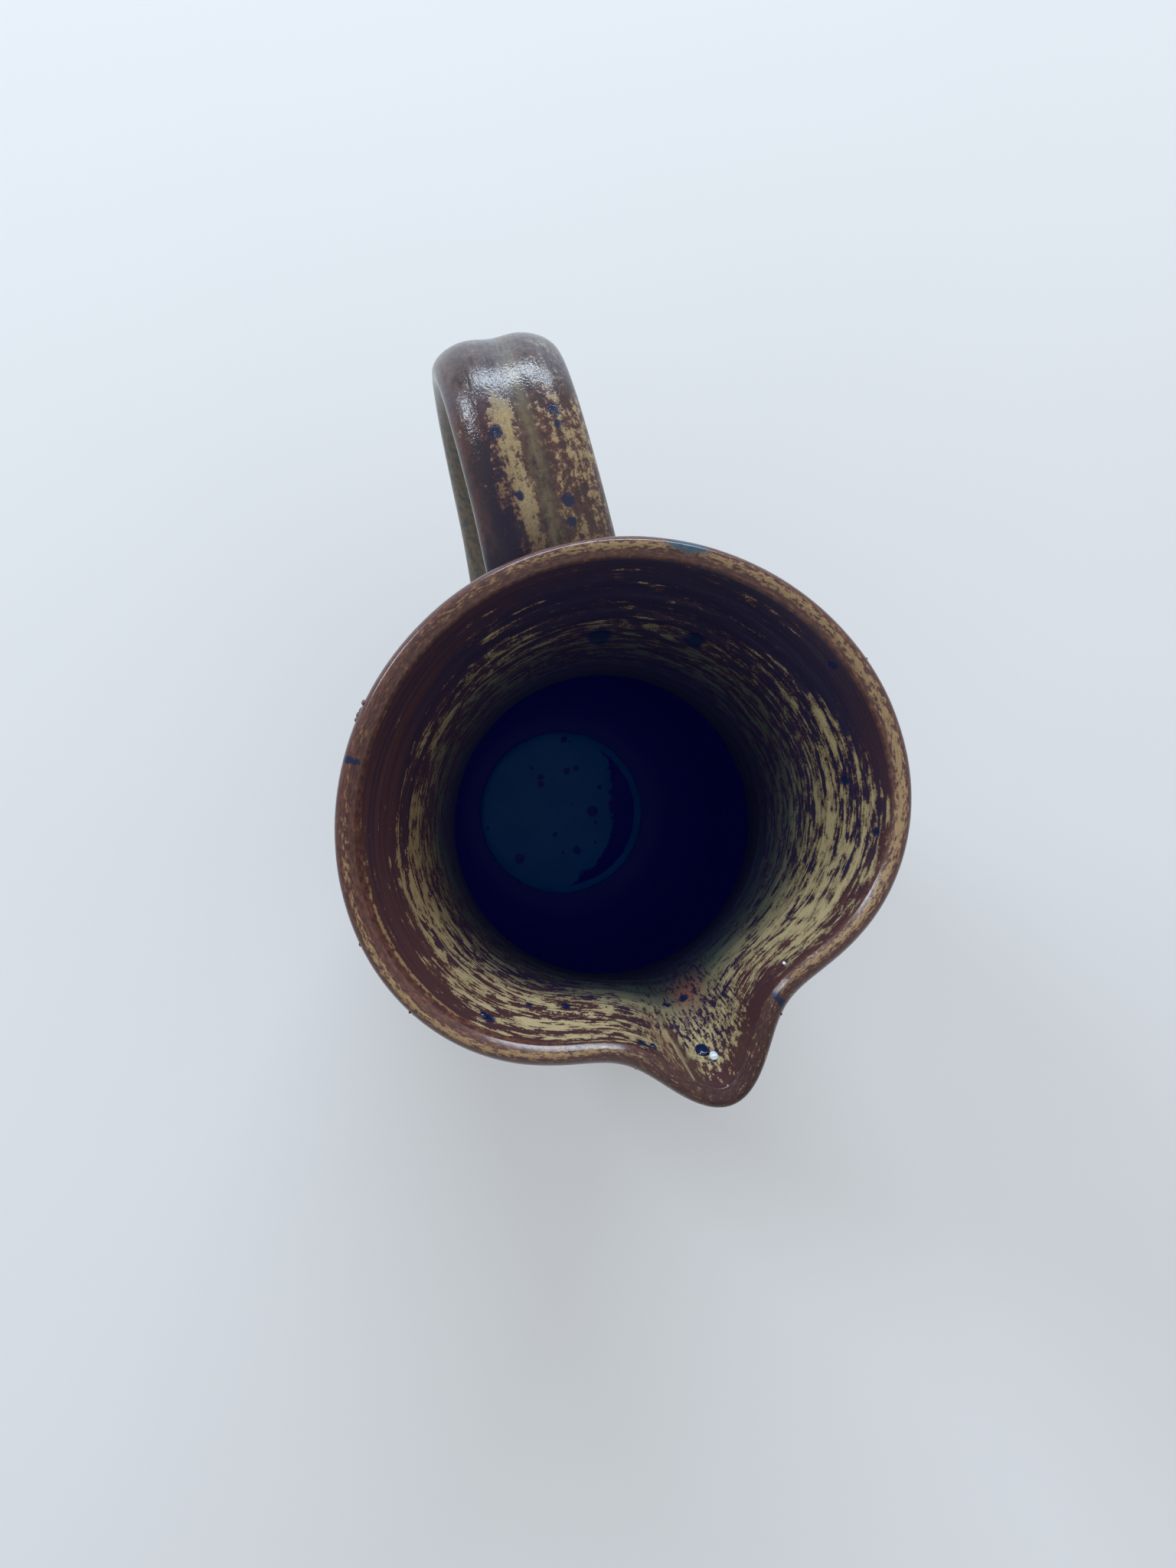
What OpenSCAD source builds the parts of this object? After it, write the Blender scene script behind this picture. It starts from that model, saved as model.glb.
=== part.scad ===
// Wheel-thrown stoneware pitcher: a waisted, flared vessel with a pulled spout and a pulled strap handle.
// Millimetres. Z is up, the table is z = 0, the wheel's axis is x = y = 0 and the spout points along +X.

/* [Vessel] */
// Height of the lip above the table
height = 185; // [160:1:220]
// Widest outside diameter of the belly
belly_d = 126; // [112:1:140]
// Height of the widest point of the belly
belly_z = 68; // [56:1:84]
// Narrowest outside diameter of the neck
neck_d = 78; // [68:1:92]
// How far below the lip the neck is narrowest
neck_drop = 49; // [36:1:64]
// Outside diameter of the mouth, across the lip
mouth_d = 112; // [100:1:124]
// Outward lean of the wall where it leaves the foot, millimetres out per millimetre up
foot_lean = 0.4; // [0.1:0.01:0.7]
// Outward lean of the mouth at the lip, millimetres out per millimetre up
mouth_lean = 0.5; // [0.32:0.01:0.8]
// Thickness of the wall
wall = 5; // [3.5:0.1:7]
// Thickness of the rounded lip
lip = 4.6; // [3:0.1:6]
// Thickness of the floor
floor_t = 7; // [4:0.5:10]
// Diameter of the flat floor inside
floor_d = 56; // [40:1:66]
// Height of the curve between the floor and the wall inside
floor_curve_h = 16; // [8:1:24]

/* [Spout] */
// How far the tip is pulled out past the lip that is drawn in beside it
spout_pull = 18.2; // [10:0.2:24]
// Inside radius of the pouring groove at the tip
spout_groove_r = 1.6; // [0.8:0.1:4]
// How far the lip is drawn in beside the spout
pinch = 19; // [8:0.5:22]
// Angle from the spout over which the lip is drawn in
pinch_spread = 52; // [40:1:56]
// How far the tip is bent down below the lip
spout_dip = 1.5; // [0:0.1:4]
// How far below the lip the throat of the spout begins
throat_drop = 53; // [36:1:70]

/* [Foot ring] */
// Outside diameter of the foot ring
foot_d = 84; // [70:1:96]
// Height of the foot ring
foot_h = 5; // [3:0.5:9]
// Width of the foot ring
foot_w = 8; // [5:0.5:12]
// Bevel turned on the edges of the foot ring
foot_bevel = 1.2; // [0.4:0.1:2]

/* [Handle] */
// Width of the strap at its upper end
strap_upper_w = 26.8; // [20:0.2:34]
// Width of the strap at its lower end
strap_lower_w = 27; // [18:0.2:34]
// Thickness of the strap
strap_t = 12.6; // [8:0.2:15]
// Depth of the groove drawn down the outside of the strap
strap_groove = 1.1; // [0:0.1:3]
// Angle that the strap is rolled about its own length
strap_roll = 2.4; // [-10:0.1:10]
// Width that the strap gains where it is smeared onto the neck
upper_root_gain = 3; // [0:0.5:12]
// Width that the strap gains where it is smeared onto the belly
lower_root_gain = 6; // [0:0.5:14]
// How far below the lip the strap is joined to the neck
upper_drop = 29; // [24:0.5:36]
// Height of the handle, from its lower joint to its upper joint
handle_span = 55; // [46:0.5:76]
// How far the strap is arched up on its way out from the upper joint
handle_arch = 16; // [8:0.5:18]
// Distance from the wheel's axis to the middle of the strap at its furthest
handle_reach = 102.4; // [88:0.2:114]
// How far below the upper joint that furthest point is
reach_drop = 10; // [4:1:24]
// Angle that the handle stands off the line opposite the spout
handle_turn = -5.2; // [-20:0.2:20]

/* [Joints and glaze] */
// Thickness of the slip that lutes the handle to the wall
slip_t = 0.8; // [0.4:0.1:2]
// Depth of the glaze that ran together on the floor
pool_t = 1.2; // [0.6:0.1:2.5]
// Bare margin between the glaze pool and the edge of the flat floor
pool_margin = 1; // [0.5:0.1:4]

/* [Hidden] */

// Colours of the glazes and of the bare clay
BROWN_GLAZE = [0.30, 0.17, 0.11];
OCHRE_GLAZE = [0.42, 0.29, 0.16];
BARE_CLAY = [0.58, 0.44, 0.33];
SLIP_CLAY = [0.36, 0.25, 0.19];
POOL_GLAZE = [0.05, 0.16, 0.20];

// Points round the vessel, and how much closer together they stand at the spout than at the handle
AROUND = 96;
CROWDING = 0.5;
// Rings up the outside, over the lip, down the inside and round the floor's curve
OUTSIDE_RINGS = 22;
LIP_RINGS = 4;
INSIDE_RINGS = 15;
CURVE_RINGS = 4;
// How sharply the pulled spout fades out down the throat
SPOUT_FADE = 1.5;

// Steps along each half of the strap and points round it, and how square its section is
STRAP_STEPS = 18;
STRAP_SIDES = 24;
STRAP_SQUARENESS = 0.95;
// Share of the strap's width that its groove takes, and of the handle's length that each root takes
GROOVE_SHARE = 0.17;
ROOT_SHARE = 0.13;
// Thickness that a root gains for each millimetre of width
ROOT_THICKENING = 0.4;
// How far the strap's ends run on inside the wall before they are cut to its surface, and at what slope
ROOT_DEPTH = 12;
ROOT_SLOPE = 0.2;
// Where the curve's control points stand: out from the upper joint, down from the furthest point and out
// from the lower joint, as shares of the distances to the joints
UPPER_PULL = 0.26;
DROP_PULL = 0.62;
LOWER_PULL = 0.5;
// Step for measuring a slope, in millimetres, in degrees or as a share of the strap's length
SMALL_STEP = 0.01;

floor_z = foot_h + floor_t;
lip_z = height - lip / 2;
neck_z = height - neck_drop;
throat_z = height - throat_drop;
upper_z = height - upper_drop;
lower_z = upper_z - handle_span;
reach_z = upper_z - reach_drop;
floor_r = floor_d / 2;
pool_r = floor_r - pool_margin;

// Radius of the spout's tip outside, which leaves the pouring groove inside a wall or a lip
tip_r = max(wall, lip) + spout_groove_r;
// Distance from the axis to the tip, and the angle over which the beak rises to give that tip
tip_reach = mouth_d / 2 + spout_pull - pinch;
beak_curve = tip_reach * tip_reach / tip_r - tip_reach;
pinch_curve = 2 * pinch / pow(pinch_spread * PI / 180, 2);
beak_spread = sqrt(2 * spout_pull / (beak_curve + pinch_curve)) * 180 / PI;

// Curves

function clamp(x) = max(0, min(1, x));

// Value at t of a cubic that starts at p0 with slope m0 and ends at p1 with slope m1
function hermite(t, p0, m0, p1, m1) =
    p0 * (2 * t * t * t - 3 * t * t + 1) + m0 * (t * t * t - 2 * t * t + t)
    + p1 * (3 * t * t - 2 * t * t * t) + m1 * (t * t * t - t * t);

// The same cubic over the heights from z0 to z1, with its slopes per millimetre of height
function rise(z, z0, r0, lean0, z1, r1, lean1) =
    hermite((z - z0) / (z1 - z0), r0, lean0 * (z1 - z0), r1, lean1 * (z1 - z0));

// Point at t on a cubic Bezier curve through four control points
function bezier(p, t) =
    p[0] * pow(1 - t, 3) + 3 * p[1] * t * pow(1 - t, 2) + 3 * p[2] * t * t * (1 - t) + p[3] * pow(t, 3);

function bell(angle, spread) = exp(-pow(angle / spread, 2));
function signed_power(x, e) = sign(x) * pow(abs(x), e);

// Thrown wall

// Outside radius at height z, before the spout is pulled
function wall_r(z) =
    z < belly_z ? rise(z, foot_h, foot_d / 2, foot_lean, belly_z, belly_d / 2, 0)
    : z < neck_z ? rise(z, belly_z, belly_d / 2, 0, neck_z, neck_d / 2, 0)
    : rise(min(z, lip_z), neck_z, neck_d / 2, 0, lip_z, mouth_d / 2, mouth_lean);

function wall_lean(z) = (wall_r(z + SMALL_STEP) - wall_r(z - SMALL_STEP)) / (2 * SMALL_STEP);

// Width of a layer of thickness t on the leaning wall, measured level
function level_width(z, t) = t * sqrt(1 + pow(wall_lean(z), 2));

// Share of the spout's full pull at height z
function spout_share(z) = pow(clamp((z - throat_z) / (height - throat_z)), SPOUT_FADE);

// Outside radius at an angle from the spout
function outline_r(angle, z) =
    wall_r(z) + spout_share(z) * (spout_pull * bell(angle, beak_spread) - pinch * bell(angle, pinch_spread));

// Point of the wall at an angle and height, set in from the outside square to the outline
function wall_point(angle, z, inset) =
    let (
        r = outline_r(angle, z),
        step = outline_r(angle + SMALL_STEP, z) - outline_r(angle - SMALL_STEP, z),
        turn = atan2(step / (2 * SMALL_STEP) * 180 / PI, r),
        dip = spout_dip * spout_share(z) * bell(angle, beak_spread)
    )
    [
        r * cos(angle) - inset * cos(angle - turn),
        r * sin(angle) - inset * sin(angle - turn),
        z - dip
    ];

// Level thickness of the wall at height z: the wall's own, thinning to the lip above the neck
function wall_width(z) =
    let (t = clamp((z - neck_z) / (lip_z - neck_z)))
    level_width(z, wall) * (1 - t) + lip * t;

// Radius of the curve that joins the floor to the wall, at an angle of 0 on the wall and 90 on the floor
function curve_z(angle) = floor_z + floor_curve_h * (1 - sin(angle));
function curve_r(angle) =
    let (z = curve_z(angle))
    floor_r + (wall_r(z) - wall_width(z) - floor_r) * cos(angle);

// Rings of the vessel's skin as [height, inset]: up the outside, over the lip, down the inside to the floor
outside_rings = [for (i = [0:OUTSIDE_RINGS - 1]) [foot_h + (lip_z - foot_h) * i / OUTSIDE_RINGS, 0]];
lip_rings = [
    for (i = [0:LIP_RINGS])
        let (angle = 180 * i / LIP_RINGS)
        [lip_z + lip / 2 * sin(angle), lip / 2 * (1 - cos(angle))]
];
inside_rings = [
    for (i = [1:INSIDE_RINGS - 1])
        let (z = lip_z + (curve_z(0) - lip_z) * i / INSIDE_RINGS)
        [z, wall_width(z)]
];
curve_rings = [
    for (i = [0:CURVE_RINGS])
        let (angle = 90 * i / CURVE_RINGS, z = curve_z(angle))
        [z, wall_r(z) - curve_r(angle)]
];
vessel_rings = concat(outside_rings, lip_rings, inside_rings, curve_rings);

// Angle of each point round a ring, crowded towards the spout
function around_angle(i) =
    let (even = 360 * i / AROUND - 180)
    even - CROWDING * sin(even) * 180 / PI;

// Skins

// Triangles that join a list of closed rings of n points each, with a flat cap at each end
function skin_faces(rings, n) = concat(
    [[for (i = [0:n - 1]) i]],
    [for (k = [0:rings - 2], i = [0:n - 1]) [k * n + i, (k + 1) * n + i, (k + 1) * n + (i + 1) % n]],
    [for (k = [0:rings - 2], i = [0:n - 1]) [k * n + i, (k + 1) * n + (i + 1) % n, k * n + (i + 1) % n]],
    [[for (i = [n - 1:-1:0]) (rings - 1) * n + i]]
);

// Outside of the wall as a line of [radius, height], with a layer of thickness t on it
function wall_line(t) = [for (ring = outside_rings) [wall_r(ring[0]) + level_width(ring[0], t), ring[0]]];
function reversed(list) = [for (i = [len(list) - 1:-1:0]) list[i]];

// Everything inside a layer of thickness t on the wall
module filled_wall(t) {
    rotate_extrude($fn = AROUND)
        polygon(concat(wall_line(t), [[0, outside_rings[OUTSIDE_RINGS - 1][0]], [0, foot_h]]));
}

// A layer of thickness t on the wall
module wall_layer(t) {
    rotate_extrude($fn = AROUND)
        polygon(concat(wall_line(t), reversed(wall_line(0))));
}

// Strap of the handle

// Control points of the strap's middle line, as [distance from the axis, height], in two halves
upper_wall_r = wall_r(upper_z);
lower_wall_r = wall_r(lower_z);
upper_pull = (handle_reach - upper_wall_r) * UPPER_PULL;
lower_pull = (handle_reach - lower_wall_r) * LOWER_PULL;
upper_half = [
    [upper_wall_r - ROOT_DEPTH, upper_z - ROOT_DEPTH * ROOT_SLOPE],
    [upper_wall_r + upper_pull, upper_z + handle_arch],
    [handle_reach, upper_z + handle_arch],
    [handle_reach, reach_z]
];
lower_half = [
    [handle_reach, reach_z],
    [handle_reach, reach_z - (reach_z - lower_z) * DROP_PULL],
    [lower_wall_r + lower_pull, lower_z + lower_pull * ROOT_SLOPE],
    [lower_wall_r - ROOT_DEPTH, lower_z - ROOT_DEPTH * ROOT_SLOPE]
];

function strap_middle(t) = t < 0.5 ? bezier(upper_half, 2 * t) : bezier(lower_half, 2 * t - 1);

// Width that the roots add at t, from 0 at the upper end to 1 at the lower end
function root_gain(t) = upper_root_gain * bell(t, ROOT_SHARE) + lower_root_gain * bell(1 - t, ROOT_SHARE);

// Section of the strap at t as [across, outwards], with the groove in its outer side
function strap_section(t) =
    let (
        w = strap_upper_w + (strap_lower_w - strap_upper_w) * t + root_gain(t),
        thickness = strap_t + ROOT_THICKENING * root_gain(t)
    )
    [
        for (i = [0:STRAP_SIDES - 1])
            let (
                angle = 360 * i / STRAP_SIDES,
                across = w / 2 * signed_power(cos(angle), STRAP_SQUARENESS),
                out = thickness / 2 * signed_power(sin(angle), STRAP_SQUARENESS),
                grooved = out > 0 ? out - strap_groove * bell(across, GROOVE_SHARE * w) : out
            )
            [
                across * cos(strap_roll) - grooved * sin(strap_roll),
                across * sin(strap_roll) + grooved * cos(strap_roll)
            ]
    ];

function strap_ring(t) =
    let (
        middle = strap_middle(t),
        ahead = strap_middle(min(1, t + SMALL_STEP)) - strap_middle(max(0, t - SMALL_STEP)),
        along = ahead / norm(ahead)
    )
    [
        for (p = strap_section(t))
            [middle[0] - along[1] * p[1], p[0], middle[1] + along[0] * p[1]]
    ];

// The strap as it was pulled, before its ends are fitted to the wall, from one of its steps to another
module pulled_strap(first, last) {
    rings = [for (i = [first:last]) strap_ring(i / (2 * STRAP_STEPS))];
    rotate([0, 0, 180 + handle_turn])
        polyhedron([for (ring = rings) each ring], skin_faces(len(rings), STRAP_SIDES));
}

// Pieces

module vessel() {
    color(BROWN_GLAZE)
        polyhedron(
            [for (ring = vessel_rings, i = [0:AROUND - 1]) wall_point(around_angle(i), ring[0], ring[1])],
            skin_faces(len(vessel_rings), AROUND)
        );
}

module foot_ring() {
    outer = foot_d / 2;
    inner = outer - foot_w;
    color(BARE_CLAY)
        rotate_extrude($fn = AROUND)
            polygon([
                [inner, foot_h],
                [inner, foot_bevel],
                [inner + foot_bevel, 0],
                [outer - 2 * foot_bevel, 0],
                [outer - foot_bevel, foot_bevel],
                [outer, foot_h]
            ]);
}

module handle() {
    color(OCHRE_GLAZE)
        difference() {
            pulled_strap(0, 2 * STRAP_STEPS);
            filled_wall(slip_t);
        }
}

module upper_slip_joint() {
    color(SLIP_CLAY)
        intersection() {
            pulled_strap(0, STRAP_STEPS);
            wall_layer(slip_t);
        }
}

module lower_slip_joint() {
    color(SLIP_CLAY)
        intersection() {
            pulled_strap(STRAP_STEPS, 2 * STRAP_STEPS);
            wall_layer(slip_t);
        }
}

module glaze_pool() {
    meniscus_steps = 6;
    color(POOL_GLAZE)
        translate([0, 0, floor_z])
            rotate_extrude($fn = AROUND)
                polygon(concat(
                    [[0, 0]],
                    [
                        for (i = [0:meniscus_steps])
                            let (angle = 90 * i / meniscus_steps)
                            [pool_r - pool_t * (1 - cos(angle)), pool_t * sin(angle)]
                    ],
                    [[0, pool_t]]
                ));
}

vessel();
foot_ring();
handle();
upper_slip_joint();
lower_slip_joint();
glaze_pool();
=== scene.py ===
import math

import bmesh
import bpy
import numpy as np
from bpy.props import FloatProperty, FloatVectorProperty, IntProperty, PointerProperty
from mathutils import Euler, Matrix, Vector


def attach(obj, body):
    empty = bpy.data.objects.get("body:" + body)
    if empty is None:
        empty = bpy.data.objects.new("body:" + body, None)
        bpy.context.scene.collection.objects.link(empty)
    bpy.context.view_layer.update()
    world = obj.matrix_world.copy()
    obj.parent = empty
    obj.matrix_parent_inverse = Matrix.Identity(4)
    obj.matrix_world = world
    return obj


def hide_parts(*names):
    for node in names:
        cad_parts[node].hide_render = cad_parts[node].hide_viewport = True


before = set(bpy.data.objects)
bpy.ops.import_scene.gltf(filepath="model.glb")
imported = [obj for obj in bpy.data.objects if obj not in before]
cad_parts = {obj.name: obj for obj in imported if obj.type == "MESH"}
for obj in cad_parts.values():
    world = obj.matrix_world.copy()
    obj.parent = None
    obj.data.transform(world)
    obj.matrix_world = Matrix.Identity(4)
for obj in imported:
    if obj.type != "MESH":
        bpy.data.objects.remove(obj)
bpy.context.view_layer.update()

bl_info = {
    "name": "Stoneware pitcher",
    "version": (1, 0, 0),
    "blender": (4, 5, 0),
    "location": "View3D > Sidebar > Pitcher",
    "description": "Dresses a wheel-thrown pitcher with its throwing marks, strap handle and streaked glaze",
    "category": "Mesh",
}

MM = 0.001

# A length that keeps sums from dividing by nought, and the gap within which the points of a seam are merged
TINY = 1e-6
SEAM = 2e-6

# How finely the wheel-thrown pieces and the strap are drawn, and how far columns crowd towards the spout
AROUND = 256
CROWDING = 0.5
OUTSIDE_ROWS = 120
LIP_ROWS = 9
INSIDE_ROWS = 110
CURVE_ROWS = 14
DISC_ROWS = 10
STRAP_ROWS = 140
STRAP_SIDES = 80

# Width of the lip's sharper outer edge, and the share of the way across the lip at which its crest lies
LIP_EDGE = 1.7 * MM
LIP_CREST = 0.42

# How the lip's inner side turns down: places along it, and its tilt where the wiped bevel starts and ends
BEVEL_PLACES = (0, 0.32, 0.88, 1)
BEVEL_TILTS = (math.radians(32), math.radians(37.5))

# Shares that shape the spout's fade and the strap, as in the part's own source
SPOUT_FADE = 1.5
STRAP_SQUARENESS = 0.95
GROOVE_SHARE = 0.17
ROOT_SHARE = 0.13
ROOT_THICKENING = 0.4
ROOT_DEPTH = 12 * MM
ROOT_SLOPE = 0.2
UPPER_PULL = 0.26
DROP_PULL = 0.62
LOWER_PULL = 0.5

# Blue-black spots round the mouth: degrees from the spout, drop below the lip and radius in millimetres
MOUTH_SPOTS = [
    (-58, 4.9, 1.3), (-17.6, 2.7, 1.2), (-49, 14.9, 0.9), (-38, 16.9, 1.0), (139, 19.4, 2.1),
    (166, 23, 2.7), (70.3, 2.6, 0.9), (83, 10.5, 0.9), (110, 2, 0.8), (-124.3, -1.9, 0.5),
    (21, -1.6, 0.6), (1.5, 26.5, 1.1), (-4.4, 25.3, 1.0),
]

# Beads of glaze in the mouth and pale drops, their near-white in part a painted highlight, placed in the
# same way, and which way the drops face
GLAZE_BEADS = [(-1.9, 9.4, 2.3), (-58, 4.9, 1.1), (-17.6, 2.7, 1.0)]
PALE_HIGHLIGHT_DROPS = [(2.2, 6.6, 1.4), (28.5, 2.4, 0.55)]
DROP_FACING = (-0.67, 0.09, 0.74)

# Kiln grit on the lip: how many fine crumbs, where the coarse ones lie in degrees from the spout, the least
# and most drop below the lip and radius in millimetres, and how deep all of it sits in the glaze
FINE_GRIT = 16
COARSE_GRIT = [-134, -133, -135.5, -132, -128, -137]
GRIT_DROP = (-0.8, 1.6)
FINE_SIZE = (0.22, 0.5)
COARSE_SIZE = (0.6, 1.1)
GRIT_INSET = 0.15 * MM

# Height of the beads, the drops and the grit as a share of their length, and width and lumps of all of them
BEAD_FLATNESS = 0.28
DROP_FLATNESS = 0.24
GRIT_FLATNESS = 0.6
BEAD_WIDTH = 0.8
BEAD_LUMPS = 0.5

# How far beads and grit face up, and the share of its radius by which a drop stands off the wall
BEAD_RISE = 0.5
GRIT_RISE = 0.2
DROP_STAND_OFF = 0.2

# Where the pale streaks inside the mouth set in higher or lower, and how much deeper the brown lasts below
# the lip before the plum, partly painted shade, takes over: degrees from the spout, spread in radians,
# shift down in millimetres
STREAK_STARTS = [(-36, 0.75, -17.5), (12, 0.22, -3), (22, 0.12, 4), (70, 0.75, -14), (32, 0.3, -5)]
BROWN_DEPTHS = [(-105, 0.75, 9), (-40, 0.6, 17), (22, 0.15, 10), (40, 0.3, 9)]

# Blue-black spots on the strap: run along it, side of its middle, radius in millimetres
STRAP_SPOTS = [
    (52.7, 5.5, 1.2), (54.5, -6.7, 1.1), (51.8, -6.8, 0.7),
    (40.5, 4.2, 0.8), (37.7, -4.9, 1.2), (33.9, -4.7, 0.9),
]

# Dark specks in the glaze pool: x, y, radius in millimetres
POOL_SPECKS = [
    (-13.5, -2.5, 1.4), (-11.2, -3.3, 1.3), (-12.5, 6.2, 1.1), (-12.2, 9.6, 0.9), (-22.5, 9.0, 1.4),
    (3.1, 9.7, 2.2), (-3.5, 14.8, 1.0), (9.6, -18.2, 2.0), (13.5, 0.5, 1.6), (6.0, -4.5, 0.8),
]

# Depths below the lip inside: where streaks set in, where painted shade darkens the glaze and where the
# painted shade turns navy
STREAKS_FROM = 15.5 * MM
SHADE_FROM = 27.0 * MM
SHADE_TO = 39.0 * MM
NAVY_FROM = 50.0 * MM
NAVY_TO = 95.0 * MM

# Height of the ragged lower edge of the glaze outside
GLAZE_EDGE = 12.0 * MM

# Radius at which spots in the mouth are measured
SPOT_RING = 45.0 * MM

# Irregularities of the hand: features in a metre on the vessel, the foot, the pool and the strap
VESSEL_WANDER = 34.0
FOOT_WANDER = 90.0
POOL_WANDER = 80.0
STRAP_WANDER = 55.0

# How the throwing rings sway: features round a radian and up a metre, and how many rings they sway by
SWAY_AROUND = 1.3
SWAY_UP = 40.0
SWAY_RINGS = 1.6

# Pitch and depth of the rings on a piece that has none
NO_RINGS = (1.0, 0.0)

# Turning marks on the foot: their pitch and depth, how far its surface wanders, the step between its rows
# and how many times its corners are softened
FOOT_RING_PITCH = 0.9 * MM
FOOT_RING_DEPTH = 0.08 * MM
FOOT_UNEVENNESS = 0.1 * MM
FOOT_STEP = 0.35 * MM
FOOT_SOFTENING = 6

# Rows of the glaze pool across its underside, up its edge and back to its middle, and how far it wanders
POOL_ROWS = (12, 7, 16)
POOL_UNEVENNESS = 0.3 * MM

# Depth of the marks that pulling left on the strap, shares of its lines and its wander in them, and features
# of the lines along and across it and of the thumb's smears at its roots in a metre
PULLING_MARKS = 0.2 * MM
LINES_SHARE = 0.6
WANDER_SHARE = 1.4
LINES_ALONG = 30.0
LINES_ACROSS = 420.0
THUMB_SMEARS = 160.0

# How the strap's rows crowd at its roots, and the core that cuts it off inside the wall
STRAP_CROWDING = 0.6
CORE_TUCK = 2.2 * MM
CORE_START = 40 * MM
CORE_ROWS = 60

# Lamps: bearing and elevation in degrees, width and height in metres, all at one distance and with one tint
LAMPS = {"window": (160, 20.5, 1.65, 0.36), "side": (212, 27, 0.5, 0.4)}
LAMP_DISTANCE = 2.0
LAMP_TINT = (0.76, 0.88, 1.0)
LAMP_AIM = (0, 0, 0.12)

# Tint of the sky at the horizon and overhead, half the width of the floor, how far it lies below the foot
# and how much its clouds dim it
SKY_LOW = (0.96, 0.98, 1.0)
SKY_HIGH = (0.93, 0.97, 1.0)
FLOOR_HALF = 3.0
FLOOR_DROP = 0.2 * MM
FLOOR_DIMMING = 0.97

# Camera as it stood for the photo: focal length and frame height in pixels, its turns about x, y and z from
# straight down in degrees, and its place
FOCAL_PIXELS = 1540
FRAME_PIXELS = 2048
SENSOR_HEIGHT = 36
CAMERA_TURNS = (0.050, -5.987, 70.157)
CAMERA_PLACE = (-0.01943, -0.02701, 0.40199)


def srgb(red, green, blue):
    """Scene-linear colour of a display colour given from 0 to 255."""
    parts = []
    for value in (red, green, blue):
        c = value / 255
        parts.append(c / 12.92 if c <= 0.04045 else ((c + 0.055) / 1.055) ** 2.4)
    return tuple(parts)


def length(name, description, default):
    return FloatProperty(name=name, description=description, default=default, unit="LENGTH", precision=5)


def angle(name, description, degrees):
    return FloatProperty(name=name, description=description, default=math.radians(degrees), subtype="ANGLE")


def share(name, description, default):
    return FloatProperty(name=name, description=description, default=default)


def colour(name, description, default):
    return FloatVectorProperty(
        name=name, description=description, default=default, subtype="COLOR", size=3, min=0, max=1
    )


class PITCHER_PG_vessel(bpy.types.PropertyGroup):
    """Sizes of the thrown vessel, its spout and its foot."""

    height: length("Height", "Height of the lip above the table", 0.185)
    belly_d: length("Belly", "Widest outside diameter of the belly", 0.126)
    belly_z: length("Belly height", "Height of the widest point of the belly", 0.068)
    neck_d: length("Neck", "Narrowest outside diameter of the neck", 0.078)
    neck_drop: length("Neck drop", "How far below the lip the neck is narrowest", 0.049)
    mouth_d: length("Mouth", "Outside diameter of the mouth", 0.112)
    foot_lean: share("Foot lean", "Outward lean of the wall at the foot", 0.4)
    mouth_lean: share("Mouth lean", "Outward lean of the wall at the lip", 0.5)
    wall: length("Wall", "Thickness of the wall", 0.005)
    lip: length("Lip", "Thickness of the rounded lip", 0.0046)
    floor_t: length("Floor", "Thickness of the floor", 0.007)
    floor_d: length("Floor width", "Diameter of the flat floor inside", 0.056)
    floor_curve_h: length("Floor curve", "Height of the curve between floor and wall", 0.016)
    spout_pull: length("Spout pull", "How far the tip is pulled out past the lip beside it", 0.0182)
    spout_groove_r: length("Spout groove", "Inside radius of the pouring groove", 0.0016)
    pinch: length("Pinch", "How far the lip is drawn in beside the spout", 0.019)
    pinch_spread: angle("Pinch spread", "Angle over which the lip is drawn in", 52)
    spout_dip: length("Spout dip", "How far the tip is bent down below the lip", 0.0015)
    throat_drop: length("Throat drop", "How far below the lip the throat begins", 0.053)
    foot_d: length("Foot", "Outside diameter of the foot ring", 0.084)
    foot_h: length("Foot height", "Height of the foot ring", 0.005)
    foot_w: length("Foot width", "Width of the foot ring", 0.008)
    foot_bevel: length("Foot bevel", "Bevel turned on the foot ring", 0.0012)
    pool_t: length("Pool depth", "Depth of the glaze on the floor", 0.0012)
    pool_margin: length("Pool margin", "Bare margin round the glaze pool", 0.001)
    ring_pitch: length("Ring pitch", "Distance between throwing rings", 0.0052)
    ring_depth: length("Ring depth", "Depth of the throwing rings", 0.0004)
    unevenness: length("Unevenness", "How far the hand-made surface wanders", 0.0003)
    seed: IntProperty(name="Seed", description="Seed of the hand-made irregularities", default=7)


class PITCHER_PG_handle(bpy.types.PropertyGroup):
    """Sizes of the pulled strap handle."""

    upper_w: length("Upper width", "Width of the strap at its upper end", 0.0268)
    lower_w: length("Lower width", "Width of the strap at its lower end", 0.027)
    strap_t: length("Thickness", "Thickness of the strap", 0.0126)
    groove: length("Groove", "Depth of the groove down the outside", 0.0011)
    roll: angle("Roll", "Angle that the strap is rolled about its length", 2.4)
    upper_gain: length("Upper root", "Width gained where the strap is smeared onto the neck", 0.003)
    lower_gain: length("Lower root", "Width gained where the strap is smeared onto the belly", 0.006)
    upper_drop: length("Upper drop", "How far below the lip the strap is joined to the neck", 0.029)
    span: length("Span", "Height from the lower joint to the upper joint", 0.055)
    arch: length("Arch", "How far the strap is arched up", 0.016)
    reach: length("Reach", "Distance from the axis to the strap at its furthest", 0.1024)
    reach_drop: length("Reach drop", "How far below the upper joint that point is", 0.01)
    turn: angle("Turn", "Angle that the handle stands off the line opposite the spout", -5.2)
    flare: length("Flare", "How far the roots are smeared out over the wall", 0.0035)
    flare_reach: length("Flare reach", "Distance from the wall at which the smear begins", 0.006)


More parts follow.
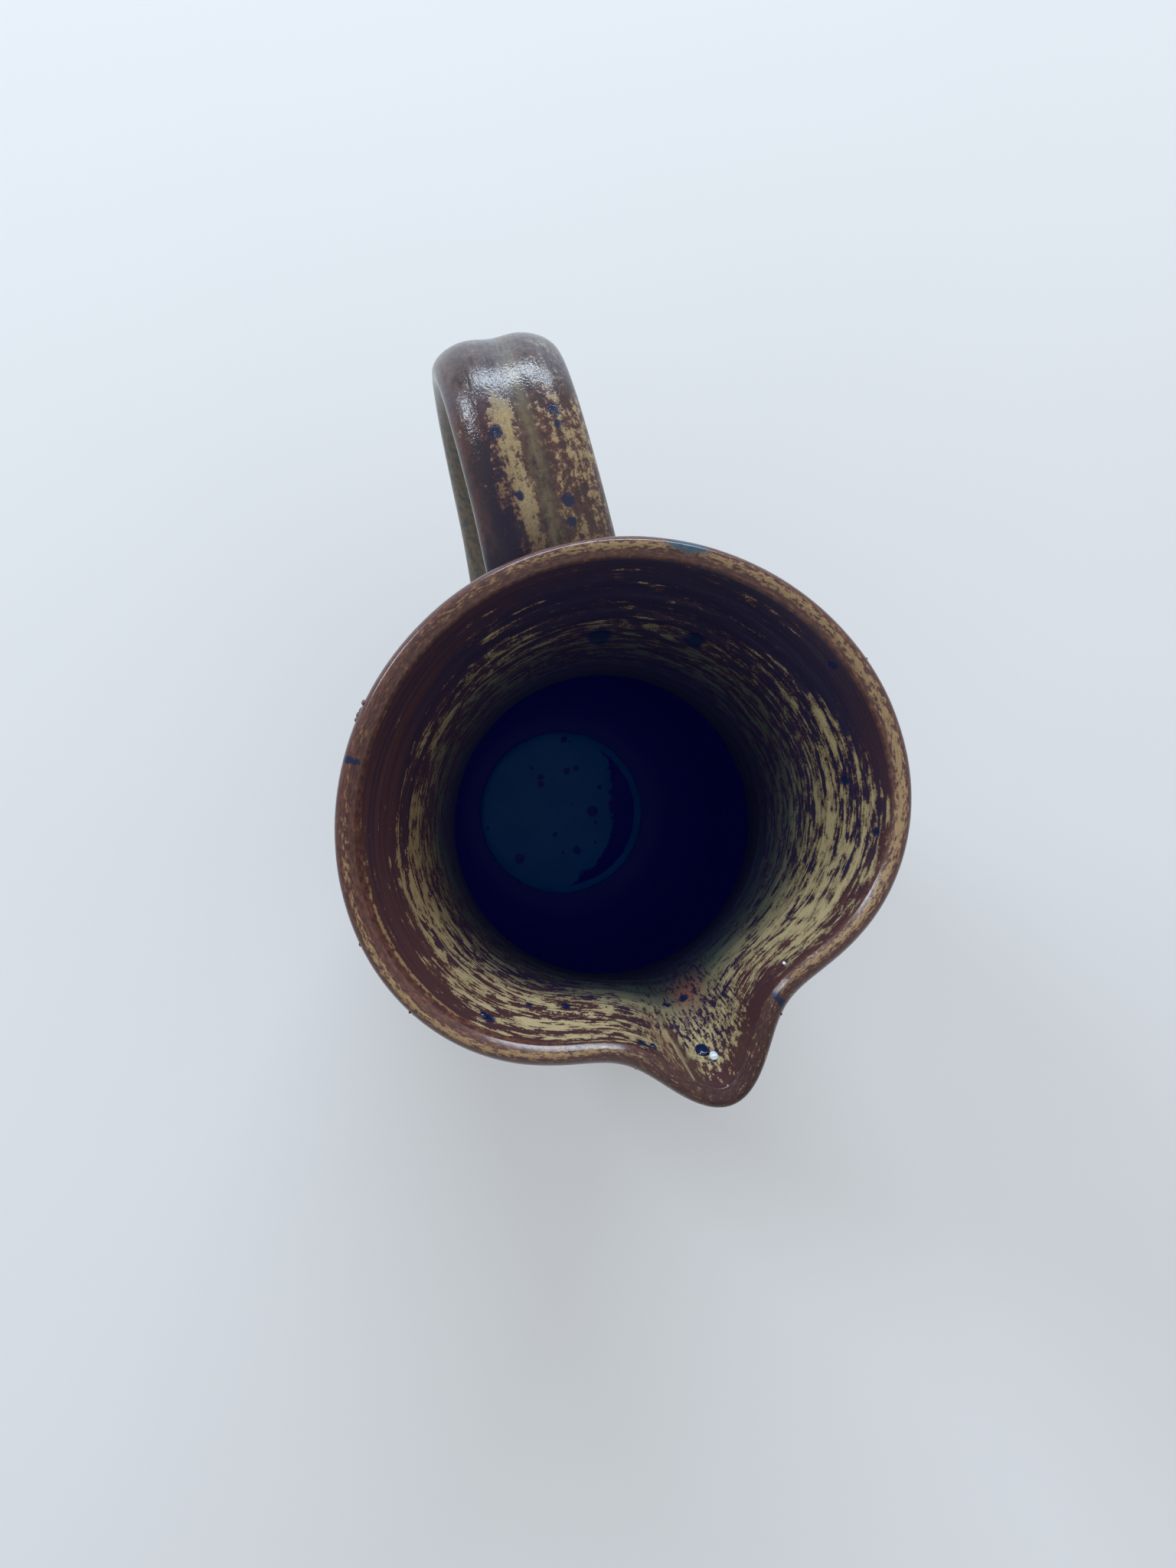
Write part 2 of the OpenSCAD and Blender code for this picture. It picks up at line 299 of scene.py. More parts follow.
class PITCHER_PG_glaze(bpy.types.PropertyGroup):
    """Colours of the glazes and the clay, some of which also stand for painted shade, painted light and
    painted reflection.
    """

    khaki: colour("Khaki", "Pale streaks of the glaze", srgb(170, 154, 117))
    # Painted light: stands for the extra light on the streaks of the wall beside the spout that faces the
    # window
    straw: colour("Straw", "Palest streaks, beside the spout", srgb(202, 184, 142))
    ochre: colour("Ochre", "Warm edges of the pale streaks", srgb(156, 128, 92))
    rust: colour("Rust", "Thin glaze round the pale streaks", srgb(108, 70, 59))
    brown: colour("Red-brown", "Iron glaze on the lip and the front", srgb(77, 51, 50))
    bark: colour("Bark", "Thick iron glaze on the outside and the strap", srgb(50, 38, 40))
    # Partly painted shade: the bluish plum of the shaded walls inside the mouth
    plum: colour("Plum", "Thick iron glaze inside the mouth", srgb(40, 37, 61))
    # Also stands for painted shade: the dimmed streaks below the neck inside
    olive: colour("Olive", "Pale streaks where the glaze runs thick below the neck", srgb(62, 75, 70))
    # Blue-black of the spots' edges and specks, and also the painted shade below the neck inside
    ink_and_shade: colour("Ink", "Glaze in the shade of the neck", srgb(18, 24, 68))
    # Navy of the glaze pool, and also the painted shade deep inside the mouth
    navy: colour("Navy", "Thick glaze on the inside", srgb(16, 31, 168))
    spot: colour("Spots", "Blue-black spots", srgb(20, 36, 62))
    # Also the painted reflection of the sky on the strap's far bend
    smear: colour("Smear", "Cobalt smear on the lip", srgb(34, 74, 98))
    blush: colour("Blush", "Reddish patch in the throat of the spout", srgb(140, 80, 70))
    teal: colour("Teal", "Glaze pool on the floor", srgb(14, 118, 200))
    ash: colour("Ash", "Grey-olive glaze in the groove of the strap", srgb(108, 96, 74))
    # Partly painted highlight: the near-white of the drops in the spout stands for the window's reflection
    opal_and_highlight: colour("Opal", "Milky drops of glaze in the spout", srgb(196, 208, 213))
    clay: colour("Bare clay", "Unglazed foot", srgb(150, 112, 84))


class PITCHER_PG_stage(bpy.types.PropertyGroup):
    """Light and floor round the pitcher."""

    floor: colour("Floor", "Pale floor", srgb(235, 235, 236))
    window: FloatProperty(name="Window", description="Power of the window light", default=29, unit="POWER")
    side: FloatProperty(name="Side", description="Power of the second light", default=11, unit="POWER")
    sky: share("Sky", "Strength of the soft light from all round", 0.61)


class Term:
    """A node's output that takes part in sums as a number does."""

    def __init__(self, socket):
        self.socket = socket
        self.tree = socket.id_data


def sum_of(operation, swapped=False):
    """A method that makes a math node of an operator, swapped where the term stands on its right."""
    if swapped:
        return lambda self, other: calc(operation, other, self)
    return lambda self, other: calc(operation, self, other)


for sign, operation in {"add": "ADD", "sub": "SUBTRACT", "mul": "MULTIPLY"}.items():
    setattr(Term, f"__{sign}__", sum_of(operation))
    setattr(Term, f"__r{sign}__", sum_of(operation, True))
Term.__truediv__ = sum_of("DIVIDE")
Term.__pow__ = sum_of("POWER")


def put(value, socket):
    """Links a term to a socket, or writes a plain value on it."""
    if isinstance(value, Term):
        socket.id_data.links.new(value.socket, socket)
    else:
        socket.default_value = value


def node(tree, kind, inputs=None, **settings):
    made = tree.nodes.new(kind)
    for key, value in settings.items():
        setattr(made, key, value)
    for key, value in (inputs or {}).items():
        put(value, made.inputs[key])
    return made


def out(made, key=0):
    return Term(made.outputs[key])


def calc(operation, *values):
    tree = next(v.tree for v in values if isinstance(v, Term))
    return out(node(tree, "ShaderNodeMath", dict(enumerate(values)), operation=operation))


def xyz(tree, x, y, z):
    return out(node(tree, "ShaderNodeCombineXYZ", {"X": x, "Y": y, "Z": z}))


def split(vector):
    made = node(vector.tree, "ShaderNodeSeparateXYZ", {0: vector})
    return out(made, 0), out(made, 1), out(made, 2)


def noise(tree, vector, scale, detail=2.0, roughness=0.5):
    inputs = {"Vector": vector, "Scale": scale, "Detail": detail, "Roughness": roughness}
    return out(node(tree, "ShaderNodeTexNoise", inputs))


def ramp(value, start, end):
    """0 before start and 1 after end, with an even rise between them."""
    return out(node(value.tree, "ShaderNodeMapRange", {0: value, 1: start, 2: end}))


def blend(factor, first, second):
    """Colour between two colours."""
    inputs = {0: factor, 6: as_colour(first), 7: as_colour(second)}
    return out(node(factor.tree, "ShaderNodeMix", inputs, data_type="RGBA"), 2)


def as_colour(value):
    return value if isinstance(value, Term) else (*value, 1.0)


def layered(base, *layers):
    """A colour with other colours laid over it, each by its share."""
    for share_of, over in layers:
        base = blend(share_of, base, over)
    return base


def between(factor, first, second):
    """Number between two numbers."""
    return first + (second - first) * factor


def clamp(x):
    if isinstance(x, Term):
        return calc("MINIMUM", calc("MAXIMUM", x, 0.0), 1.0)
    return np.clip(x, 0.0, 1.0)


def bell(x, spread):
    """1 at nought, falling off alike to either side."""
    q = x / spread
    if isinstance(q, Term):
        return calc("EXPONENT", q * q * -1.0)
    return np.exp(-q * q)


def signed_power(x, power):
    """Power of a number's size, with its sign."""
    return calc("SIGN", x) * calc("ABSOLUTE", x) ** power


# Thrown wall, as the part's own source gives it


def rise(z, z0, r0, lean0, z1, r1, lean1):
    """Radius at height z of a cubic from r0 at z0 to r1 at z1, level with its ends beyond them."""
    h = z1 - z0
    t = clamp((z - z0) / h)
    return (
        (t * t * (t * 2.0 - 3.0) + 1.0) * r0
        + t * (t * (t - 2.0) + 1.0) * (lean0 * h)
        + t * t * (3.0 - t * 2.0) * r1
        + t * t * (t - 1.0) * (lean1 * h)
    )


def lip_height(f):
    return f.height - f.lip / 2


def wall_radius(f, z):
    neck_z = f.height - f.neck_drop
    lower = rise(z, f.foot_h, f.foot_d / 2, f.foot_lean, f.belly_z, f.belly_d / 2, 0.0)
    middle = rise(z, f.belly_z, f.belly_d / 2, 0.0, neck_z, f.neck_d / 2, 0.0)
    upper = rise(z, neck_z, f.neck_d / 2, 0.0, lip_height(f), f.mouth_d / 2, f.mouth_lean)
    return lower + middle + upper - (f.belly_d / 2 + f.neck_d / 2)


def wall_width(f, z):
    """Level thickness of the leaning wall at height z, thinning to the lip above the neck."""
    step = 0.01 * MM
    lean = (wall_radius(f, z + step) - wall_radius(f, z - step)) / (2 * step)
    neck_z = f.height - f.neck_drop
    t = clamp((z - neck_z) / (lip_height(f) - neck_z))
    return f.wall * np.sqrt(1 + lean * lean) * (1 - t) + f.lip * t


def beak_spread(f):
    """Angle over which the spout is pulled out, for the wanted radius in its groove."""
    tip_r = max(f.wall, f.lip) + f.spout_groove_r
    tip_reach = f.mouth_d / 2 + f.spout_pull - f.pinch
    beak_curve = tip_reach * tip_reach / tip_r - tip_reach
    pinch_curve = 2 * f.pinch / f.pinch_spread**2
    return math.sqrt(2 * f.spout_pull / (beak_curve + pinch_curve))


def spout_share(f, z):
    """How much of the spout shows at height z: none below the throat, all at the lip."""
    throat_z = f.height - f.throat_drop
    return clamp((z - throat_z) / (f.height - throat_z)) ** SPOUT_FADE


def wall_place(f, theta, z, inset):
    """Point of the wall at an angle from the spout, set in square to the outline, and the way it faces."""
    share_z = spout_share(f, z)
    spread = beak_spread(f)
    beak = f.spout_pull * bell(theta, spread)
    pinch = f.pinch * bell(theta, f.pinch_spread)
    r = wall_radius(f, z) + share_z * (beak - pinch)
    slope = share_z * 2 * theta * (pinch / f.pinch_spread**2 - beak / spread**2)
    facing = theta - math.atan2(slope, r)
    return Vector((
        r * math.cos(theta) - inset * math.cos(facing),
        r * math.sin(theta) - inset * math.sin(facing),
        z - f.spout_dip * share_z * bell(theta, spread),
    )), facing


def vessel_section(f):
    """Rows of the vessel's skin from the middle of its underside over the lip to the middle of its floor.

    A row is its outside radius, inset, height, how far inside it is and how strong its throwing marks are.
    """
    lip_z = lip_height(f)
    floor_z = f.foot_h + f.floor_t
    floor_r = f.floor_d / 2
    curve_top = floor_z + f.floor_curve_h
    fade = 14 * MM
    rows = [(r, 0, f.foot_h, 0, 0) for r in np.linspace(0, f.foot_d / 2, DISC_ROWS)]
    for z in np.linspace(f.foot_h, lip_z, OUTSIDE_ROWS)[1:-1]:
        rows.append((wall_radius(f, z), 0, z, 0, clamp((lip_z - z) / fade)))
    for psi in np.linspace(0, math.pi / 2, LIP_ROWS):
        inset = LIP_EDGE * (1 - math.cos(psi))
        crossed = LIP_CREST * psi / (math.pi / 2)
        rows.append((f.mouth_d / 2, inset, lip_z + f.lip / 2 * math.sin(psi), crossed, 0))
    bend = math.pi / 2 - math.atan(f.mouth_lean)
    tilts = np.interp(np.linspace(0, 1, 2 * LIP_ROWS), BEVEL_PLACES, (0, *BEVEL_TILTS, bend))
    level = np.concatenate([[0], np.cumsum(np.cos((tilts[1:] + tilts[:-1]) / 2))])
    drop = np.concatenate([[0], np.cumsum(np.sin((tilts[1:] + tilts[:-1]) / 2))])
    room = f.lip - LIP_EDGE - f.mouth_lean * f.lip / 2
    size = room / (level[-1] - f.mouth_lean * drop[-1])
    for t in range(1, len(tilts)):
        crossed = LIP_CREST + (1 - LIP_CREST) * t / (len(tilts) - 1)
        rows.append((f.mouth_d / 2, LIP_EDGE + size * level[t], f.height - size * drop[t], crossed, 0))
    for z in np.linspace(lip_z, curve_top, INSIDE_ROWS)[1:-1]:
        rows.append((wall_radius(f, z), wall_width(f, z), z, 1, clamp((lip_z - z) / fade)))
    for a in np.linspace(0, math.pi / 2, CURVE_ROWS):
        z = floor_z + f.floor_curve_h * (1 - math.sin(a))
        wall_r = wall_radius(f, z)
        curve_r = floor_r + (wall_r - wall_width(f, z) - floor_r) * math.cos(a)
        rows.append((wall_r, wall_r - curve_r, z, 1, math.cos(a)))
    rows += [(r, 0, floor_z, 1, 0) for r in np.linspace(floor_r, 0, DISC_ROWS)[1:]]
    return rows


def polygon_section(corners, step, soft):
    """Rows round a closed section, with every corner but those at its highest level softened."""
    points = []
    for (r0, z0), (r1, z1) in zip(corners, corners[1:] + corners[:1]):
        count = max(2, round(math.hypot(r1 - r0, z1 - z0) / step))
        points += [(r0 + (r1 - r0) * i / count, z0 + (z1 - z0) * i / count) for i in range(count)]
    line = np.array(points)
    free = (line[:, 1] < line[:, 1].max() - TINY)[:, None]
    for _ in range(soft):
        middle = (np.roll(line, 1, 0) + np.roll(line, -1, 0)) / 2
        line = np.where(free, (line + middle) / 2, line)
    line = np.vstack([line, line[:1]])
    return [(r, 0, z, 0, 1) for r, z in line]


# Geometry trees


def open_tree(name, whole, numbers):
    """A new geometry tree with named whole numbers, numbers and a glaze, and those inputs as terms."""
    sockets = dict.fromkeys(whole, "Int") | dict.fromkeys(numbers, "Float") | {"Glaze": "Material"}
    tree = bpy.data.node_groups.new(name, "GeometryNodeTree")
    tree.interface.new_socket("Geometry", in_out="INPUT", socket_type="NodeSocketGeometry")
    for label, kind in sockets.items():
        tree.interface.new_socket(label, in_out="INPUT", socket_type="NodeSocket" + kind)
    tree.interface.new_socket("Geometry", in_out="OUTPUT", socket_type="NodeSocketGeometry")
    source = tree.nodes.new("NodeGroupInput")
    return tree, {socket.name: Term(socket) for socket in source.outputs if socket.name}


def close_tree(tree, geometry, material):
    geometry = out(node(tree, "GeometryNodeSetShadeSmooth", {"Geometry": geometry}))
    geometry = out(node(tree, "GeometryNodeRealizeInstances", {"Geometry": geometry}))
    geometry = out(node(tree, "GeometryNodeSetMaterial", {"Geometry": geometry, "Material": material}))
    put(geometry, tree.nodes.new("NodeGroupOutput").inputs[0])
    return tree


def named(tree, name, data_type):
    return out(node(tree, "GeometryNodeInputNamedAttribute", {"Name": name}, data_type=data_type))


def store(geometry, name, value, data_type):
    inputs = {"Geometry": geometry, "Name": name, "Value": value}
    return out(node(geometry.tree, "GeometryNodeStoreNamedAttribute", inputs, data_type=data_type))


def sample(geometry, value, row):
    inputs = {"Geometry": geometry, "Value": value, "Index": row}
    return out(node(geometry.tree, "GeometryNodeSampleIndex", inputs, data_type="FLOAT_VECTOR"))


def woven_grid(tree, rows_from, around):
    """A flat grid with a row for each point of a section, with its angle round and its row as terms."""
    count = out(node(tree, "GeometryNodeAttributeDomainSize", {"Geometry": rows_from}), "Point Count")
    inputs = {"Size X": 1.0, "Size Y": 1.0, "Vertices X": around, "Vertices Y": count}
    grid = out(node(tree, "GeometryNodeMeshGrid", inputs), "Mesh")
    place = out(node(tree, "GeometryNodeInputPosition"))
    across, up, _ = split(place)
    return grid, place, across * math.tau, calc("ROUND", (up + 0.5) * (count - 1.0))


def shaped(tree, grid, place):
    grid = out(node(tree, "GeometryNodeSetPosition", {"Geometry": grid, "Position": place}))
    return out(node(tree, "GeometryNodeMergeByDistance", {"Geometry": grid, "Distance": SEAM}))


def pressed(tree, geometry, amount):
    """Presses a surface in along its own normal."""
    normal = out(node(tree, "GeometryNodeInputNormal"))
    inputs = {0: normal, "Scale": amount * -1.0}
    offset = out(node(tree, "ShaderNodeVectorMath", inputs, operation="SCALE"))
    return out(node(tree, "GeometryNodeSetPosition", {"Geometry": geometry, "Offset": offset}))


def thrown_tree():
    """Turns a section round the wheel's axis, pulls a spout from it and leaves the throwing rings."""
    tree, g = open_tree("thrown_form", ["Around", "Seed"], [
        "Crowding", "Spout pull", "Beak spread", "Pinch", "Pinch spread", "Spout dip", "Throat height",
        "Lip height", "Ring pitch", "Ring depth", "Unevenness", "Uneven scale",
    ])
    grid, place, even, row = woven_grid(tree, g["Geometry"], g["Around"])
    theta = even - g["Crowding"] * calc("SINE", even)
    wall_r, inset, z = split(sample(g["Geometry"], place, row))
    hand = sample(g["Geometry"], named(tree, "hand", "FLOAT_VECTOR"), row)
    inner, marks, run = split(hand)

    throat = g["Throat height"]
    pulled = clamp((z - throat) / (g["Lip height"] - throat)) ** SPOUT_FADE
    beak_bell = bell(theta, g["Beak spread"])
    beak = g["Spout pull"] * beak_bell
    pinch = g["Pinch"] * bell(theta, g["Pinch spread"])
    r = wall_r + pulled * (beak - pinch)
    bend = pinch / (g["Pinch spread"] ** 2.0) - beak / (g["Beak spread"] ** 2.0)
    facing = theta - calc("ARCTAN2", pulled * theta * bend * 2.0, r)
    cos_theta = calc("COSINE", theta)
    sin_theta = calc("SINE", theta)
    spot = xyz(
        tree,
        r * cos_theta - inset * calc("COSINE", facing),
        r * sin_theta - inset * calc("SINE", facing),
        z - g["Spout dip"] * pulled * beak_bell,
    )

    drift = xyz(tree, cos_theta * SWAY_AROUND + g["Seed"], sin_theta * SWAY_AROUND, z * SWAY_UP)
    sway = noise(tree, drift, 1.0)
    turns = run / g["Ring pitch"] + theta / math.tau + sway * SWAY_RINGS
    ring = (calc("SINE", turns * math.tau) * 0.5 + 0.5) * marks
    grid = store(grid, "inner", inner, "FLOAT")
    grid = store(grid, "ring", ring, "FLOAT")
    body = shaped(tree, grid, spot)
    wander = noise(tree, place, g["Uneven scale"])
    body = pressed(tree, body, named(tree, "ring", "FLOAT") * g["Ring depth"] + wander * g["Unevenness"])
    return close_tree(tree, body, g["Glaze"])


def strap_tree(f):
    """Sweeps the grooved section of the strap along its middle line and smears its roots over the wall."""
    tree, g = open_tree("pulled_strap", ["Sides", "Seed"], [
        "Upper width", "Lower width", "Thickness", "Groove", "Roll", "Turn", "Upper gain", "Lower gain",
        "Flare", "Flare reach", "Pulling marks",
    ])
    grid, place, round_angle, row = woven_grid(tree, g["Geometry"], g["Sides"])
    reach, _, height = split(sample(g["Geometry"], place, row))
    run_out, run_up, full = split(sample(g["Geometry"], named(tree, "line", "FLOAT_VECTOR"), row))
    t, along, _ = split(sample(g["Geometry"], named(tree, "course", "FLOAT_VECTOR"), row))

    gain = g["Upper gain"] * bell(t, ROOT_SHARE) + g["Lower gain"] * bell(1.0 - t, ROOT_SHARE)
    width = between(t, g["Upper width"], g["Lower width"]) + gain
    thick = g["Thickness"] + gain * ROOT_THICKENING
    across = width * 0.5 * signed_power(calc("COSINE", round_angle), STRAP_SQUARENESS)
    outwards = thick * 0.5 * signed_power(calc("SINE", round_angle), STRAP_SQUARENESS)
    outer = calc("GREATER_THAN", outwards, 0.0)
    grooved = outwards - g["Groove"] * bell(across, width * GROOVE_SHARE) * outer
    roll_cos = calc("COSINE", g["Roll"])
    roll_sin = calc("SINE", g["Roll"])
    side = (across * roll_cos - grooved * roll_sin) * full
    top = (across * roll_sin + grooved * roll_cos) * full

    x = reach - run_up * top
    z = height + run_out * top
    gap = calc("SQRT", x * x + side * side) - wall_radius(f, z)
    thumbed = noise(tree, xyz(tree, across, outwards, along), THUMB_SMEARS) + 0.5
    smear = g["Flare"] * thumbed * clamp(1.0 - gap / g["Flare reach"]) ** 2.0 * full
    grow = smear / (calc("SQRT", side * side + top * top) + TINY) + 1.0
    side = side * grow
    top = top * grow
    x = reach - run_up * top
    z = height + run_out * top
    turn_cos = calc("COSINE", g["Turn"])
    turn_sin = calc("SINE", g["Turn"])
    spot = xyz(tree, x * turn_cos - side * turn_sin, x * turn_sin + side * turn_cos, z)

    grid = store(grid, "strap", xyz(tree, along, across, outwards), "FLOAT_VECTOR")
    body = shaped(tree, grid, spot)
    strap_x, strap_y, strap_z = split(named(tree, "strap", "FLOAT_VECTOR"))
    pull = xyz(tree, strap_x * LINES_ALONG + g["Seed"], strap_y * LINES_ACROSS, strap_z * LINES_ACROSS)
    lines = noise(tree, pull, 1.0, 3.0)
    wander = noise(tree, place, STRAP_WANDER)
    body = pressed(tree, body, (lines * LINES_SHARE + wander * WANDER_SHARE) * g["Pulling marks"])
    return close_tree(tree, body, g["Glaze"])


def bead_tree():
    """Sets a small rounded bead on each point, flattened against the surface that it sits on."""
    tree, g = open_tree("set_beads", [], ["Flatness"])
    ball = out(node(tree, "GeometryNodeMeshIcoSphere", {"Radius": 1.0, "Subdivisions": 3}))
    lumps = noise(tree, out(node(tree, "GeometryNodeInputPosition")), 1.3)
    ball = pressed(tree, ball, lumps * BEAD_LUMPS)
    facing = named(tree, "facing", "FLOAT_VECTOR")
    turned = out(node(tree, "FunctionNodeAlignRotationToVector", {"Vector": facing}, axis="Z"))
    size = named(tree, "size", "FLOAT")
    flat = xyz(tree, size, size * BEAD_WIDTH, size * g["Flatness"])
    inputs = {"Points": g["Geometry"], "Instance": ball, "Rotation": turned, "Scale": flat}
    beads = out(node(tree, "GeometryNodeInstanceOnPoints", inputs))
    return close_tree(tree, beads, g["Glaze"])


def seed_mesh(name, points, **attributes):
    """A mesh of loose points that carries the attributes that a geometry tree reads."""
    mesh = bpy.data.meshes.new(name)
    mesh.from_pydata([tuple(p) for p in points], [], [])
    for key, values in attributes.items():
        values = np.array(values, np.float32)
        kind = "FLOAT" if values.ndim == 1 else "FLOAT_VECTOR"
        layer = mesh.attributes.new(key, kind, "POINT")
        layer.data.foreach_set("value" if kind == "FLOAT" else "vector", values.ravel())
    return mesh


def show(name, mesh):
    piece = bpy.data.objects.new(name, mesh)
    bpy.context.scene.collection.objects.link(piece)
    return piece


def settle(piece):
    """Turns a piece's modifiers into a plain mesh whose faces point outwards."""
    graph = bpy.context.evaluated_depsgraph_get()
    mesh = bpy.data.meshes.new_from_object(
        piece.evaluated_get(graph), preserve_all_data_layers=True, depsgraph=graph
    )
    piece.modifiers.clear()
    piece.data = mesh
    mesh.name = piece.name
    work = bmesh.new()
    work.from_mesh(mesh)
    bmesh.ops.recalc_face_normals(work, faces=work.faces)
    work.to_mesh(mesh)
    work.free()
    if not mesh.polygons:
        raise RuntimeError(f"{piece.name} came out empty")
    mesh.shade_smooth()
    return piece


def grow_piece(name, seed, tree, values):
    """A piece that a geometry tree makes from a mesh of points."""
    piece = show(name, seed)
    modifier = piece.modifiers.new(tree.name, "NODES")
    modifier.node_group = tree
    for socket in tree.interface.items_tree:
        if socket.in_out == "INPUT" and socket.name in values:
            modifier[socket.identifier] = values[socket.name]
    return settle(piece)


def throw_piece(name, f, rows, material, marks, spout=True):
    """A wheel-thrown piece from the rows of its section.

    Its marks are the pitch and depth of the rings, how far the surface wanders and how often in a metre.
    """
    ring_pitch, ring_depth, unevenness, uneven_scale = marks
    rows = np.array(rows)
    steps = np.hypot(np.diff(rows[:, 0] - rows[:, 1]), np.diff(rows[:, 2]))
    run = np.concatenate([[0], np.cumsum(steps)])
    hand = np.column_stack([rows[:, 3], rows[:, 4], run])
    tree = bpy.data.node_groups.get("thrown_form") or thrown_tree()
    return grow_piece(name, seed_mesh(name, rows[:, :3], hand=hand), tree, {
        "Around": AROUND + 1,
        "Crowding": CROWDING if spout else 0.0,
        "Spout pull": f.spout_pull if spout else 0.0,
        "Beak spread": beak_spread(f),
        "Pinch": f.pinch if spout else 0.0,
        "Pinch spread": f.pinch_spread,
        "Spout dip": f.spout_dip if spout else 0.0,
        "Throat height": f.height - f.throat_drop,
        "Lip height": f.height,
        "Ring pitch": ring_pitch,
        "Ring depth": ring_depth,
        "Unevenness": unevenness,
        "Uneven scale": uneven_scale,
        "Seed": f.seed,
        "Glaze": material,
    })


# Materials


def new_material(name):
    material = bpy.data.materials.new(name)
    material.use_nodes = True
    tree = material.node_tree
    tree.nodes.clear()
    skin = tree.nodes.new("ShaderNodeBsdfPrincipled")
    finish = tree.nodes.new("ShaderNodeOutputMaterial")
    tree.links.new(skin.outputs[0], finish.inputs["Surface"])
    return material, tree, skin


def object_place(tree):
    return out(node(tree, "ShaderNodeTexCoord"), "Object")


def attribute(tree, name, key="Fac"):
    return out(node(tree, "ShaderNodeAttribute", attribute_name=name), key)


def dress(skin, base, roughness, height, strength, distance):
    """Gives a material its colour, its gloss and the relief of its surface."""
    tree = skin.id_data
    put(base, skin.inputs["Base Color"])
    put(roughness, skin.inputs["Roughness"])
    bump = node(tree, "ShaderNodeBump", {"Height": height, "Strength": strength, "Distance": distance})
    put(out(bump), skin.inputs["Normal"])


def disc(where, centre, radius, ragged):
    """1 within a radius of a place, with a ragged edge."""
    gap = out(node(where.tree, "ShaderNodeVectorMath", {0: where, 1: centre}, operation="DISTANCE"), "Value")
    return ramp(gap + ragged, radius, radius * 0.7)


def spotted(base, where, centres, ragged, share_of, look):
    """Blue spots with a dark edge on a colour."""
    edges = 0.0
    cores = 0.0
    for centre, radius in centres:
        edges = calc("MAXIMUM", edges, disc(where, centre, radius * 1.3, ragged))
        cores = calc("MAXIMUM", cores, disc(where, centre, radius * 0.75, ragged))
    return blend(cores * share_of, blend(edges * share_of * 0.85, base, look.ink_and_shade), look.spot)


class Mouth:
    """Where a point of the vessel's skin lies and the noises in its glaze, as terms of a material's tree."""

    def __init__(self, tree, f):
        self.tree = tree
        place = object_place(tree)
        x, y, self.z = split(place)
        r = calc("SQRT", x * x + y * y) + TINY
        self.cx = x / r
        self.cy = y / r
        self.depth = lip_height(f) - self.z
        self.inner = attribute(tree, "inner")
        self.front = ramp(self.cx, -0.35, 0.3)
        self.throat = ramp(self.cx, 0.95, 0.985) * self.inner
        self.sway = self.turned(2.0, self.z * 70.0) - 0.5
        self.level = self.z + self.sway * (1.2 * MM)
        self.dashes = self.combed(2.2, 620.0, 5.0, 0.68)
        self.hairs = self.combed(6.0, 1900.0, 2.0)
        self.breaks = self.combed(13.0, 700.0, 2.0)
        self.running = self.combed(58.0, 400.0, 4.0)
        self.lines = self.combed(0.9, 1300.0, 3.0)
        self.patch = noise(tree, xyz(tree, self.cx * 1.9 + 3.0, self.cy * 1.9, self.z * 110.0), 1.0)
        self.fleck = self.turned(36.0, self.inner * 12.0 + self.z * 900.0, 3.0, 0.6)
        self.grain = noise(tree, place, 2300.0, 1.0)

    def turned(self, around, up, detail=2.0, roughness=0.5):
        """Noise with so many features round a radian."""
        spot = xyz(self.tree, self.cx * around, self.cy * around, up)
        return noise(self.tree, spot, 1.0, detail, roughness)

    def combed(self, around, up, detail, roughness=0.62):
        """Noise drawn out round the wheel, with so many features round a radian and up a metre."""
        return self.turned(around, self.level * up, detail, roughness)

    def near(self, degrees, spread):
        """1 at an angle from the spout, falling off to either side."""
        a = math.radians(degrees)
        chord = calc("SQRT", 2.0 + TINY - (self.cx * math.cos(a) + self.cy * math.sin(a)) * 2.0)
        return bell(chord, spread)

    def shifted(self, depth, shifts):
        """A depth that counts from lower down where a table says so."""
        for degrees, spread, shift in shifts:
            depth = depth - self.near(degrees, spread) * (shift * MM)
        return depth


def streak_cover(m):
    """The streaks as they are drawn out round the wheel, and how far each point is pale with them."""
    fine = ramp(m.depth, 14.0 * MM, 24.0 * MM) * 0.35 + 0.28
    level_streak = between(fine, m.dashes, m.hairs) + (m.breaks - 0.5) * (m.front * 0.14 + 0.4)
    run_streak = m.running * 0.85 + m.hairs * 0.15 + 0.01
    streak = between(m.throat, level_streak, run_streak) + (m.grain - 0.5) * 0.16
    band = ramp(m.shifted(m.depth - STREAKS_FROM, STREAK_STARTS), -2.0 * MM, 2.5 * MM)
    rich = m.near(30, 0.4) * 0.03 + m.near(-110, 0.6) * 0.04
    cover_in = band * (m.front * 0.06 + 0.08 + rich) - 0.13 + (m.patch - 0.5) * 0.24
    cover_out = (m.patch - 0.5) * 0.3 - 0.03
    return streak, streak + between(m.inner, cover_out, cover_in)


